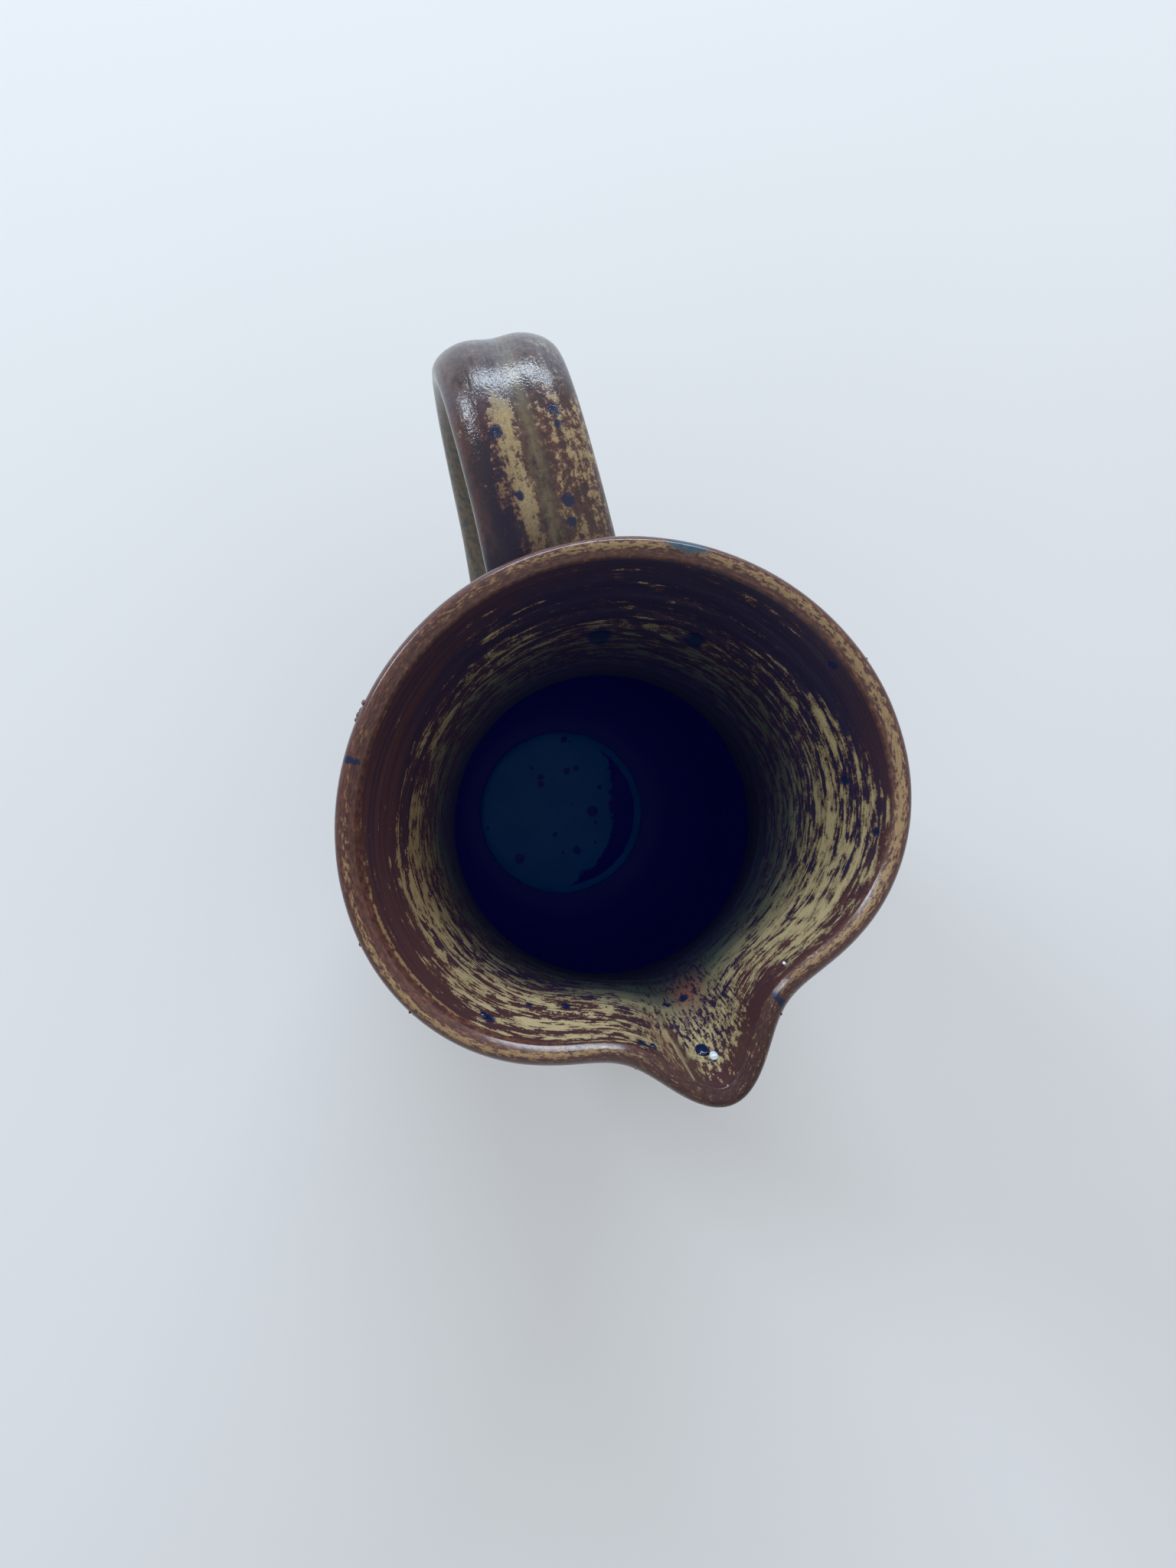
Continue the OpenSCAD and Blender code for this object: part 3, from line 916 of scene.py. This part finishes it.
def dark_glaze(m, cover, look):
    """The glaze between the streaks: bark and brown outside, brown by the lip and plum below it inside; the
    plum is partly painted shade, taking over sooner away from the spout and at the top.
    """
    low = m.shifted(m.depth, BROWN_DEPTHS) + (m.patch - 0.5) * (10.0 * MM)
    # Painted shade in part: the brown gives way to plum sooner away from the spout and at the top, the sides
    # in shade, and the plum lines are stronger there too
    brown = ramp(low, 6.0 * MM, 1.0 * MM) * (m.front * 0.3 + 0.65) * (1.0 - m.near(140, 0.9) * 0.85)
    outside = blend(ramp(m.patch, 0.35, 0.6), look.bark, look.brown)
    return layered(
        blend(m.inner, outside, blend(brown, look.plum, look.brown)),
        (m.near(-110, 0.7) * m.inner * 0.25, look.rust),
        (ramp(cover, 0.42, 0.5) * 0.4, look.rust),
        (ramp(m.lines, 0.46, 0.6) * m.inner * (0.5 - m.front * 0.2), look.plum),
    )


def pale_glaze(m, cover, look):
    """The glaze of the streaks: straw beside the spout, a painted light on the wall that faces the window;
    golden further round; olive deeper down, a painted shade that sets in sooner away from the spout.
    """
    golden = ramp(m.grain, 0.55, 0.75) * 0.4 + m.near(-108, 0.6) * m.inner * 0.6
    # Painted shade: the streaks turn olive deeper down, later on the spout side and on the left wall, where
    # more light reaches
    later = m.front * (5.0 * MM) + m.near(-105, 0.6) * (5.0 * MM)
    return layered(
        blend(ramp(cover, 0.5, 0.62), look.ash, look.khaki),
        # Painted light: the streaks are lighter, straw, on the wall beside the spout that faces the window
        (m.near(-40, 0.6) * m.inner * 0.6, look.straw),
        (golden, look.ochre),
        (ramp(m.depth - later, 11.0 * MM, 24.0 * MM) * m.inner, look.olive),
    )


def spout_marks(m, base, look):
    """Lays the blush in the throat of the spout and the pinched fold beside it over a colour, with a pale
    line along the fold that is partly painted highlight.
    """
    blush = bell(m.cy - 0.06, 0.1) * bell(m.depth - 27.0 * MM, 5.0 * MM) * m.throat
    fold = m.cy / m.cx + m.depth * 2.9 + 0.112
    folded = ramp(m.depth, 23.0 * MM, 16.0 * MM) * ramp(m.inner, 0.85, 1.0) * ramp(m.cx, 0.9, 0.95)
    crease_and_highlight = bell(fold, 0.006) * folded
    base = layered(
        base,
        (blush * ramp(m.running, 0.4, 0.55) * 0.7, look.blush),
        (bell(fold + 0.06, 0.05) * folded * ramp(m.dashes, 0.35, 0.5) * 0.6, look.rust),
        (bell(fold - 0.03, 0.022) * folded * 0.9, look.brown),
        # Partly painted highlight: a pale khaki line along the fold's edge, where it catches the light
        (crease_and_highlight * 0.75, look.khaki),
    )
    return base, crease_and_highlight


def lip_glaze(m, look):
    """Where the lip's thin glaze lies, its colour with an ochre line along it, and its dark edges, the inner
    of which is partly painted shade in the step into the wall.
    """
    ledge = m.near(-88, 0.6)
    end = m.depth - ledge * (2.2 * MM) + (m.inner - 1.0) * (8.0 * MM) + (m.patch - 0.5) * (0.8 * MM)
    band = ramp(end, 0.0, -0.7 * MM) * ramp(m.depth, 3.4 * MM, 2.2 * MM)
    side = 0.62 - m.near(165, 0.8) * 0.12 - m.near(-70, 0.75) * 0.22
    spread = m.near(85, 0.9) * 0.11 + 0.15
    line = bell(m.inner - side, spread) * (1.0 - m.near(-140, 0.6) * 0.9) * (1.0 - m.near(0, 0.3) * 0.9)
    line = calc("MAXIMUM", line, bell(m.depth - 1.3 * MM, 0.7 * MM) * m.inner * ledge)
    pale = m.fleck + line * 0.3 + (m.patch - 0.5) * 0.3 + (m.grain - 0.5) * 0.2
    pale = pale + m.near(-60, 0.35) * 0.06 - m.near(-112, 0.4) * 0.05
    beak = layered(
        blend(ramp(m.grain, 0.3, 0.6) * 0.6, look.bark, look.brown),
        (ramp(m.fleck, 0.48, 0.7) * 0.6, look.rust),
        (ramp(m.fleck + (m.grain - 0.5) * 0.3, 0.64, 0.7), look.ochre),
    )
    # Dark line at the lip's outer edge, and a dark line at its step into the wall that is partly glaze in
    # the groove and partly painted shade
    edge = ramp(m.inner, 0.12, 0.04) + bell(m.inner - 0.96, 0.03) * ramp(m.patch, 0.4, 0.55) * 0.8
    base = layered(
        blend(ramp(m.fleck, 0.4, 0.6), look.brown, look.rust),
        (ramp(pale, 0.64, 0.8), look.ochre),
        (ramp(m.inner, 0.36, 0.16) * 0.75, look.brown),
        (m.near(4, 0.46), beak),
        (edge * 0.7, look.bark),
    )
    return band, base, edge


def streaked_glaze(f, look):
    """Iron glaze that breaks to khaki streaks round the mouth, with painted shade in blue-black and navy
    below the neck inside.
    """
    material, tree, skin = new_material("streaked_glaze")
    m = Mouth(tree, f)
    streak, cover = streak_cover(m)
    pale = ramp(cover, 0.49, 0.52)
    base = blend(pale, dark_glaze(m, cover, look), pale_glaze(m, cover, look))
    base, crease_and_highlight = spout_marks(m, base, look)
    lip_band, lip_colour, edge = lip_glaze(m, look)
    smear = m.near(150, 0.085) * lip_band * bell(m.inner - 0.35, 0.35)
    # Painted shade: below the neck the glaze is darkened to blue-black and then navy with depth, starting
    # later on the spout side where more light reaches, with ragged lines
    dim = m.depth - m.front * (4.0 * MM) + (m.lines - 0.5) * (22.0 * MM)
    shaded = ramp(dim, SHADE_FROM, SHADE_TO) * m.inner
    deep = ramp(m.depth, NAVY_FROM, NAVY_TO) * m.inner
    base = layered(
        base,
        (lip_band, lip_colour),
        (ramp(smear + (m.fleck - 0.5) * 1.7, 0.42, 0.7) * 0.85, look.smear),
        (shaded, blend(deep, look.ink_and_shade, look.navy)),
    )
    where = xyz(tree, m.cx * SPOT_RING, m.cy * SPOT_RING, m.depth)
    centres = []
    for degrees, drop, radius in MOUTH_SPOTS:
        a = math.radians(degrees)
        centres.append(((math.cos(a) * SPOT_RING, math.sin(a) * SPOT_RING, drop * MM), radius * MM))
    base = spotted(base, where, centres, (m.fleck - 0.5) * (0.9 * MM), 1.0, look)
    bare = ramp(m.z + m.sway * (6.0 * MM), GLAZE_EDGE + 0.5 * MM, GLAZE_EDGE - 0.5 * MM) * (1.0 - m.inner)
    base = layered(
        base,
        (ramp(m.grain, 0.74, 0.78) * 0.6, look.ink_and_shade),
        (bare, blend(m.grain, look.clay, look.rust)),
    )

    gloss = 0.17 + lip_band * 0.03 + (m.grain - 0.5) * 0.16 + pale * 0.06
    gloss = between(bare, between(shaded, gloss, 0.65), 0.85)
    ripple = m.turned(110.0, m.inner * 2.0)
    height = (pale * 0.25 + streak * 0.4 + m.lines * 0.5) * (1.0 - lip_band * 0.9)
    height = height + ripple * lip_band * 0.06 + m.grain * (0.12 - lip_band * 0.06)
    height = height - edge * lip_band * 0.3 - crease_and_highlight * 0.6
    wiped = lip_band * calc("MAXIMUM", m.near(7, 0.42), m.near(-105, 0.5) * 0.9)
    put(0.5 - wiped * 0.3, skin.inputs["Specular IOR Level"])
    dress(skin, base, gloss, height, 0.3, 0.3 * MM)
    return material


def strap_glaze(look):
    """Iron glaze with khaki bands drawn along the ridges of the strap, and a bluish tint on its far bend
    that is painted reflection of the sky.
    """
    material, tree, skin = new_material("strap_glaze")
    place = object_place(tree)
    along, across, outwards = split(attribute(tree, "strap", "Vector"))
    grain = noise(tree, place, 2000.0, 1.0)
    streak = noise(tree, xyz(tree, along * 150.0, across * 700.0, outwards * 700.0), 1.0, 4.0, 0.62)
    patch = noise(tree, xyz(tree, along * 60.0, across * 130.0, outwards * 130.0), 1.0, 2.0)
    mottle = noise(tree, place, 600.0, 4.0, 0.66)

    outside = ramp(outwards, -1.0 * MM, 1.5 * MM)
    left = bell(across - 3.5 * MM, 2.4 * MM)
    right = bell(across + 9.0 * MM, 5.0 * MM)
    groove = bell(across + 0.8 * MM, 1.6 * MM)
    rim = ramp(across, 8.0 * MM, 11.0 * MM)
    far = ramp(along, 55.0 * MM, 62.0 * MM)
    root = ramp(along, 40.0 * MM, 28.0 * MM)
    cover = (left * 0.17 + right * 0.07 - groove * 0.05) * outside - 0.1 + (patch - 0.5) * 0.34
    cover = cover - far * (left * 0.12 + 0.05) - root * ramp(across, -3.0 * MM, 4.0 * MM) * 0.14
    worn = streak * 0.4 + mottle * 0.6 + (grain - 0.5) * 0.16 + cover
    pale = ramp(worn, 0.47, 0.54)
    dark = bell(across - 8.0 * MM, 3.6 * MM) * ramp(along, 60.0 * MM, 38.0 * MM)
    dark = calc("MAXIMUM", dark, root * ramp(across, -2.0 * MM, 3.0 * MM)) * outside
    ground = layered(
        blend(ramp(patch + mottle - dark * 0.5 + rim * 0.15, 0.78, 1.08), look.bark, look.brown),
        (dark * 0.4, look.ink_and_shade),
        (ramp(worn, 0.42, 0.5) * 0.5, look.rust),
    )
    light = layered(
        blend(ramp(worn + (mottle - 0.5) * 0.3, 0.5, 0.6), look.ash, look.khaki),
        (ramp(grain + mottle, 0.85, 1.15) * 0.85, look.ochre),
        (root * 0.6, look.ash),
    )
    base = layered(
        blend(pale * (1.0 - dark * 0.75), ground, light),
        (groove * ramp(streak + mottle, 0.75, 1.05) * outside * 0.85, look.ash),
        ((1.0 - outside) * 0.7, blend(ramp(mottle, 0.4, 0.55), look.olive, look.ash)),
    )
    ragged = (mottle - 0.5) * (1.2 * MM)
    flat = xyz(tree, along, across, 0.0)
    centres = [((run * MM, side * MM, 0.0), radius * MM) for run, side, radius in STRAP_SPOTS]
    film_and_sky_reflection = far * outside * ramp(streak + mottle, 0.7, 1.1)
    base = layered(
        spotted(base, flat, centres, ragged, outside, look),
        (ramp(grain, 0.74, 0.78) * 0.5, look.ink_and_shade),
        # Painted reflection: bluish patches of the smear colour on the far bend stand for the sky reflected
        # there; the same mask gives the bend its coat
        (film_and_sky_reflection * ramp(patch, 0.4, 0.6) * 0.5, look.smear),
    )
    gloss = 0.16 + (grain - 0.5) * 0.2
    put(0.5 - dark * 0.25, skin.inputs["Specular IOR Level"])
    put(film_and_sky_reflection * 0.5, skin.inputs["Coat Weight"])
    put(0.45, skin.inputs["Coat Roughness"])
    height = pale * 0.25 + streak * (far * 0.9 + 0.5) + mottle * 0.4 + grain * 0.4
    dress(skin, base, gloss, height, 0.42, 0.35 * MM)
    return material


def pool_glaze(f, look):
    """Teal glaze pool with a navy crescent, a thin bright rim and dark specks."""
    material, tree, skin = new_material("pool_glaze")
    place = object_place(tree)
    x, y, _ = split(place)
    grain = noise(tree, place, 900.0)
    edge = noise(tree, place, 140.0, 3.0, 0.6) - 0.5
    bearing = math.radians(58)
    back = 20.0 * MM
    dx = x + math.cos(bearing) * back
    dy = y + math.sin(bearing) * back
    body = calc("SQRT", dx * dx + dy * dy) + edge * (9.0 * MM)
    rim = calc("SQRT", x * x + y * y)
    pool_r = f.floor_d / 2 - f.pool_margin
    teal = ramp(body, 36.8 * MM, 36.0 * MM)
    ring = ramp(rim + edge * (1.2 * MM), pool_r - 3.0 * MM, pool_r - 2.4 * MM)
    cloud = noise(tree, place, 60.0, 3.0)
    water = blend(ramp(cloud, 0.3, 0.9) * 0.4, look.teal, look.navy)
    base = blend(calc("MAXIMUM", teal, ring), look.navy, water)
    flat = xyz(tree, x, y, 0.0)
    specks = ramp(noise(tree, place, 260.0, 1.0), 0.75, 0.78)
    for speck_x, speck_y, radius in POOL_SPECKS:
        centre = (speck_x * MM, speck_y * MM, 0.0)
        specks = calc("MAXIMUM", specks, disc(flat, centre, radius * MM, edge * (2.0 * MM)))
    base = blend(specks * 0.9, base, look.navy)
    put(0.05, skin.inputs["Specular IOR Level"])
    dress(skin, base, 0.12 + grain * 0.1, edge + grain * 0.1, 0.15, 0.3 * MM)
    return material


def bare_clay(look):
    """Matt unglazed stoneware with grog and turning lines."""
    material, tree, skin = new_material("bare_clay")
    place = object_place(tree)
    x, y, z = split(place)
    r = calc("SQRT", x * x + y * y)
    grog = noise(tree, place, 1100.0, 3.0, 0.6)
    lines = noise(tree, xyz(tree, r * 1800.0, z * 1800.0, 0.0), 1.0, 2.0)
    toast = noise(tree, place, 60.0, 2.0)
    base = blend(ramp(toast, 0.35, 0.7), look.clay, look.rust)
    base = blend(ramp(grog, 0.62, 0.7), base, look.brown)
    dress(skin, base, 0.78 + grog * 0.15, grog + lines, 0.5, 0.3 * MM)
    return material


def clouded_glaze(name, scale, detail, span, first, second, gloss, relief):
    """A glaze clouded between two colours, whose gloss and relief follow its clouds."""
    material, tree, skin = new_material(name)
    cloud = noise(tree, object_place(tree), scale, detail)
    smooth, rougher = gloss
    dress(skin, blend(ramp(cloud, *span), first, second), smooth + cloud * rougher, cloud, relief, 0.2 * MM)
    return material


def bead_glaze(look):
    """Glassy blue-black glaze of the beads."""
    return clouded_glaze("bead_glaze", 900.0, 2.0, (0.35, 0.65), look.ink_and_shade, look.spot, (0.06, 0.08), 0.1)


def drop_highlight_glaze(look):
    """Pale glaze of the drops, clouded over the khaki, whose near-white is in part a painted highlight of
    the window.
    """
    return clouded_glaze("drop_highlight_glaze", 700.0, 2.0, (0.3, 0.45), look.khaki, look.opal_and_highlight, (0.03, 0.04), 0.1)


def crumb_glaze(look):
    """Glaze over the crumbs of kiln grit on the lip."""
    return clouded_glaze("crumb_glaze", 1200.0, 3.0, (0.4, 0.6), look.plum, look.rust, (0.25, 0.2), 0.4)


# Operators


class PitcherOperator:
    """What the operators of the pitcher share."""

    bl_options = {"REGISTER", "UNDO"}


class PITCHER_OT_vessel(PitcherOperator, bpy.types.Operator):
    """Throw the vessel, pull its spout and glaze it"""

    bl_idname = "pitcher.vessel"
    bl_label = "Vessel"

    def execute(self, context):
        f = context.scene.pitcher_vessel
        glaze = streaked_glaze(f, context.scene.pitcher_glaze)
        rows = vessel_section(f)
        marks = (f.ring_pitch, f.ring_depth, f.unevenness, VESSEL_WANDER)
        vessel = throw_piece("thrown_vessel", f, rows, glaze, marks)
        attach(vessel, "root")
        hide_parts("vessel")
        return {"FINISHED"}


class PITCHER_OT_foot(PitcherOperator, bpy.types.Operator):
    """Turn the bare foot ring"""

    bl_idname = "pitcher.foot"
    bl_label = "Foot ring"

    def execute(self, context):
        f = context.scene.pitcher_vessel
        outer = f.foot_d / 2
        inner = outer - f.foot_w
        corners = [
            (inner, f.foot_h),
            (inner, f.foot_bevel),
            (inner + f.foot_bevel, 0),
            (outer - 2 * f.foot_bevel, 0),
            (outer - f.foot_bevel, f.foot_bevel),
            (outer, f.foot_h),
        ]
        rows = polygon_section(corners, FOOT_STEP, FOOT_SOFTENING)
        clay = bare_clay(context.scene.pitcher_glaze)
        marks = (FOOT_RING_PITCH, FOOT_RING_DEPTH, FOOT_UNEVENNESS, FOOT_WANDER)
        foot = throw_piece("turned_foot", f, rows, clay, marks, spout=False)
        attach(foot, "root")
        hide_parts("foot_ring")
        return {"FINISHED"}


class PITCHER_OT_pool(PitcherOperator, bpy.types.Operator):
    """Let the glaze run together on the floor"""

    bl_idname = "pitcher.pool"
    bl_label = "Glaze pool"

    def execute(self, context):
        f = context.scene.pitcher_vessel
        base_z = f.foot_h + f.floor_t
        pool_r = f.floor_d / 2 - f.pool_margin
        under, edge, top = POOL_ROWS
        rows = [(r, 0, base_z, 0, 0) for r in np.linspace(0, pool_r, under)]
        for a in np.linspace(0, math.pi / 2, edge)[1:]:
            rows.append((pool_r - f.pool_t * (1 - math.cos(a)), 0, base_z + f.pool_t * math.sin(a), 0, 0))
        rows += [(r, 0, base_z + f.pool_t, 0, 0) for r in np.linspace(pool_r - f.pool_t, 0, top)[1:]]
        glaze = pool_glaze(f, context.scene.pitcher_glaze)
        marks = (*NO_RINGS, POOL_UNEVENNESS, POOL_WANDER)
        pool = throw_piece("teal_pool", f, rows, glaze, marks, spout=False)
        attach(pool, "root")
        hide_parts("glaze_pool")
        return {"FINISHED"}


def bezier(p, t):
    t = t[:, None]
    return (
        p[0] * (1 - t) ** 3 + 3 * p[1] * t * (1 - t) ** 2 + 3 * p[2] * t * t * (1 - t) + p[3] * t**3
    )


def strap_course(f, h):
    """Middle line of the strap as distance from the axis and height, with its position along from 0 to 1."""
    upper_z = f.height - h.upper_drop
    lower_z = upper_z - h.span
    reach_z = upper_z - h.reach_drop
    upper_r = wall_radius(f, upper_z)
    lower_r = wall_radius(f, lower_z)
    upper_pull = (h.reach - upper_r) * UPPER_PULL
    lower_pull = (h.reach - lower_r) * LOWER_PULL
    upper_half = np.array([
        (upper_r - ROOT_DEPTH, upper_z - ROOT_DEPTH * ROOT_SLOPE),
        (upper_r + upper_pull, upper_z + h.arch),
        (h.reach, upper_z + h.arch),
        (h.reach, reach_z),
    ])
    lower_half = np.array([
        (h.reach, reach_z),
        (h.reach, reach_z - (reach_z - lower_z) * DROP_PULL),
        (lower_r + lower_pull, lower_z + lower_pull * ROOT_SLOPE),
        (lower_r - ROOT_DEPTH, lower_z - ROOT_DEPTH * ROOT_SLOPE),
    ])
    even = np.linspace(0, 1, STRAP_ROWS)
    t = even - STRAP_CROWDING * np.sin(even * math.tau) / math.tau
    line = np.where((t < 0.5)[:, None], bezier(upper_half, 2 * t), bezier(lower_half, 2 * t - 1))
    return t, line


class PITCHER_OT_handle(PitcherOperator, bpy.types.Operator):
    """Pull the strap handle and smear it onto the neck and the belly"""

    bl_idname = "pitcher.handle"
    bl_label = "Strap handle"

    def execute(self, context):
        f = context.scene.pitcher_vessel
        h = context.scene.pitcher_handle
        t, line = strap_course(f, h)
        ahead = np.gradient(line, axis=0)
        ahead /= np.linalg.norm(ahead, axis=1)[:, None]
        steps = np.linalg.norm(np.diff(line, axis=0), axis=1)
        along = np.concatenate([[0], np.cumsum(steps)])
        full = np.ones(len(t))
        full[0] = 0
        full[-1] = 0
        seed = seed_mesh(
            "strap_handle",
            np.column_stack([line[:, 0], np.zeros(len(t)), line[:, 1]]),
            line=np.column_stack([ahead, full]),
            course=np.column_stack([t, along, np.zeros(len(t))]),
        )
        glaze = strap_glaze(context.scene.pitcher_glaze)
        handle = grow_piece("strap_handle", seed, strap_tree(f), {
            "Sides": STRAP_SIDES + 1,
            "Upper width": h.upper_w,
            "Lower width": h.lower_w,
            "Thickness": h.strap_t,
            "Groove": h.groove,
            "Roll": h.roll,
            "Turn": math.pi + h.turn,
            "Upper gain": h.upper_gain,
            "Lower gain": h.lower_gain,
            "Flare": h.flare,
            "Flare reach": h.flare_reach,
            "Pulling marks": PULLING_MARKS,
            "Seed": f.seed,
            "Glaze": glaze,
        })
        self.trim(f, handle)
        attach(handle, "root")
        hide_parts("handle", "upper_slip_joint", "lower_slip_joint")
        return {"FINISHED"}

    def trim(self, f, handle):
        """Cuts the ends of the strap off inside the wall."""
        heights = np.linspace(f.foot_h + CORE_START, lip_height(f), CORE_ROWS)
        rows = [(0, 0, heights[0], 0, 0)]
        rows += [(wall_radius(f, z) - CORE_TUCK, 0, z, 0, 0) for z in heights]
        rows += [(0, 0, heights[-1], 0, 0)]
        marks = (*NO_RINGS, 0.0, VESSEL_WANDER)
        core = throw_piece("core", f, rows, handle.data.materials[0], marks, spout=False)
        cut = handle.modifiers.new("core", "BOOLEAN")
        cut.operation = "DIFFERENCE"
        cut.solver = "EXACT"
        cut.object = core
        settle(handle)
        bpy.data.objects.remove(core)


class PITCHER_OT_beads(PitcherOperator, bpy.types.Operator):
    """Set the glaze beads in the mouth and the kiln crumbs on the lip"""

    bl_idname = "pitcher.beads"
    bl_label = "Beads and crumbs"

    def execute(self, context):
        f = context.scene.pitcher_vessel
        look = context.scene.pitcher_glaze
        self.beads(f, look)
        self.drop(f, look)
        self.crumbs(f, look)
        return {"FINISHED"}

    def place(self, name, spots, flatness, material):
        tree = bpy.data.node_groups.get("set_beads") or bead_tree()
        points = [spot[0] for spot in spots]
        facing = [spot[1] for spot in spots]
        size = [spot[2] for spot in spots]
        seed = seed_mesh(name, points, facing=facing, size=size)
        piece = grow_piece(name, seed, tree, {"Flatness": flatness, "Glaze": material})
        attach(piece, "root")

    def beads(self, f, look):
        lip_z = lip_height(f)
        spots = []
        for degrees, drop, radius in GLAZE_BEADS:
            z = lip_z - drop * MM
            point, facing = wall_place(f, math.radians(degrees), z, wall_width(f, z))
            inwards = Vector((-math.cos(facing), -math.sin(facing), BEAD_RISE))
            spots.append((point, inwards.normalized(), radius * MM))
        self.place("glaze_beads", spots, BEAD_FLATNESS, bead_glaze(look))

    def drop(self, f, look):
        """The pale drops beside the blue bead in the spout and on the spout's shoulder, near-white in part
        as a painted highlight.
        """
        spots = []
        for degrees, drop, radius in PALE_HIGHLIGHT_DROPS:
            z = lip_height(f) - drop * MM
            inset = wall_width(f, z) + radius * DROP_STAND_OFF * MM
            point, _ = wall_place(f, math.radians(degrees), z, inset)
            spots.append((point, Vector(DROP_FACING), radius * MM))
        self.place("pale_highlight_drops", spots, DROP_FLATNESS, drop_highlight_glaze(look))

    def crumbs(self, f, look):
        draw = np.random.default_rng(f.seed)
        angles = list(draw.uniform(-180, 180, FINE_GRIT)) + COARSE_GRIT
        spots = []
        for index, degrees in enumerate(angles):
            z = lip_height(f) - draw.uniform(*GRIT_DROP) * MM
            point, facing = wall_place(f, math.radians(degrees), z, GRIT_INSET)
            outwards = Vector((math.cos(facing), math.sin(facing), GRIT_RISE))
            size = draw.uniform(*(FINE_SIZE if index < FINE_GRIT else COARSE_SIZE))
            spots.append((point, outwards.normalized(), size * MM))
        self.place("lip_crumbs", spots, GRIT_FLATNESS, crumb_glaze(look))


class PITCHER_OT_stage(PitcherOperator, bpy.types.Operator):
    """Lay the pale floor, hang the lights and set the camera above the mouth"""

    bl_idname = "pitcher.stage"
    bl_label = "Stage"

    def execute(self, context):
        stage = context.scene.pitcher_stage
        context.scene.view_settings.view_transform = "Standard"
        self.floor(stage)
        self.sky(context.scene, stage)
        self.lamp("window", stage.window)
        self.lamp("side", stage.side)
        self.camera(context.scene)
        return {"FINISHED"}

    def floor(self, stage):
        sides = [(-1, -1), (1, -1), (1, 1), (-1, 1)]
        corners = [(x * FLOOR_HALF, y * FLOOR_HALF, -FLOOR_DROP) for x, y in sides]
        mesh = bpy.data.meshes.new("floor")
        mesh.from_pydata(corners, [], [(0, 1, 2, 3)])
        floor = show("floor", mesh)
        material, tree, skin = new_material("floor_paint")
        place = object_place(tree)
        cloud = noise(tree, place, 9.0, 3.0)
        pale = tuple(stage.floor)
        dim = tuple(c * FLOOR_DIMMING for c in pale)
        dress(skin, blend(cloud, dim, pale), 0.6 + cloud * 0.2, cloud, 0.02, 1.0 * MM)
        mesh.materials.append(material)

    def sky(self, scene, stage):
        world = bpy.data.worlds.new("soft_sky")
        scene.world = world
        world.use_nodes = True
        tree = world.node_tree
        tree.nodes.clear()
        _, _, up = split(out(node(tree, "ShaderNodeTexCoord"), "Generated"))
        shade = blend(ramp(up, 0.0, 1.0), SKY_LOW, SKY_HIGH)
        glow = node(tree, "ShaderNodeBackground", {"Color": shade, "Strength": stage.sky})
        tree.links.new(glow.outputs[0], tree.nodes.new("ShaderNodeOutputWorld").inputs[0])

    def lamp(self, name, power):
        bearing, elevation, width, height = LAMPS[name]
        data = bpy.data.lights.new(name, "AREA")
        data.shape = "RECTANGLE"
        data.size = width
        data.size_y = height
        data.energy = power
        data.color = LAMP_TINT
        lamp = bpy.data.objects.new(name, data)
        a = math.radians(bearing)
        e = math.radians(elevation)
        way = Vector((math.cos(a) * math.cos(e), math.sin(a) * math.cos(e), math.sin(e)))
        lamp.location = Vector(LAMP_AIM) + way * LAMP_DISTANCE
        lamp.rotation_euler = way.to_track_quat("Z", "Y").to_euler()
        bpy.context.scene.collection.objects.link(lamp)

    def camera(self, scene):
        data = bpy.data.cameras.new("above")
        data.sensor_fit = "VERTICAL"
        data.sensor_height = SENSOR_HEIGHT
        data.lens = SENSOR_HEIGHT * FOCAL_PIXELS / FRAME_PIXELS
        data.clip_start = 0.01
        camera = bpy.data.objects.new("above", data)
        turns = Euler([math.radians(degrees) for degrees in CAMERA_TURNS])
        camera.matrix_world = Matrix.LocRotScale(Vector(CAMERA_PLACE), turns, None)
        scene.collection.objects.link(camera)
        scene.camera = camera


class PITCHER_PT_panel(bpy.types.Panel):
    """The pieces of the pitcher, in the order in which they are made"""

    bl_idname = "PITCHER_PT_panel"
    bl_label = "Stoneware pitcher"
    bl_space_type = "VIEW_3D"
    bl_region_type = "UI"
    bl_category = "Pitcher"

    def draw(self, context):
        for operator in OPERATORS:
            self.layout.operator(operator.bl_idname)
        for key in GROUPS:
            group = getattr(context.scene, key)
            box = self.layout.box()
            for name in group.__annotations__:
                box.prop(group, name)


GROUPS = {
    "pitcher_vessel": PITCHER_PG_vessel,
    "pitcher_handle": PITCHER_PG_handle,
    "pitcher_glaze": PITCHER_PG_glaze,
    "pitcher_stage": PITCHER_PG_stage,
}
OPERATORS = [
    PITCHER_OT_vessel,
    PITCHER_OT_foot,
    PITCHER_OT_pool,
    PITCHER_OT_handle,
    PITCHER_OT_beads,
    PITCHER_OT_stage,
]


def register():
    for cls in [*GROUPS.values(), *OPERATORS, PITCHER_PT_panel]:
        bpy.utils.register_class(cls)
    for key, cls in GROUPS.items():
        setattr(bpy.types.Scene, key, PointerProperty(type=cls))


def unregister():
    for key in GROUPS:
        delattr(bpy.types.Scene, key)
    for cls in reversed([*GROUPS.values(), *OPERATORS, PITCHER_PT_panel]):
        bpy.utils.unregister_class(cls)


def main():
    register()
    bpy.ops.pitcher.vessel()
    bpy.ops.pitcher.foot()
    bpy.ops.pitcher.pool()
    bpy.ops.pitcher.handle()
    bpy.ops.pitcher.beads()
    bpy.ops.pitcher.stage()


if __name__ == "__main__":
    main()
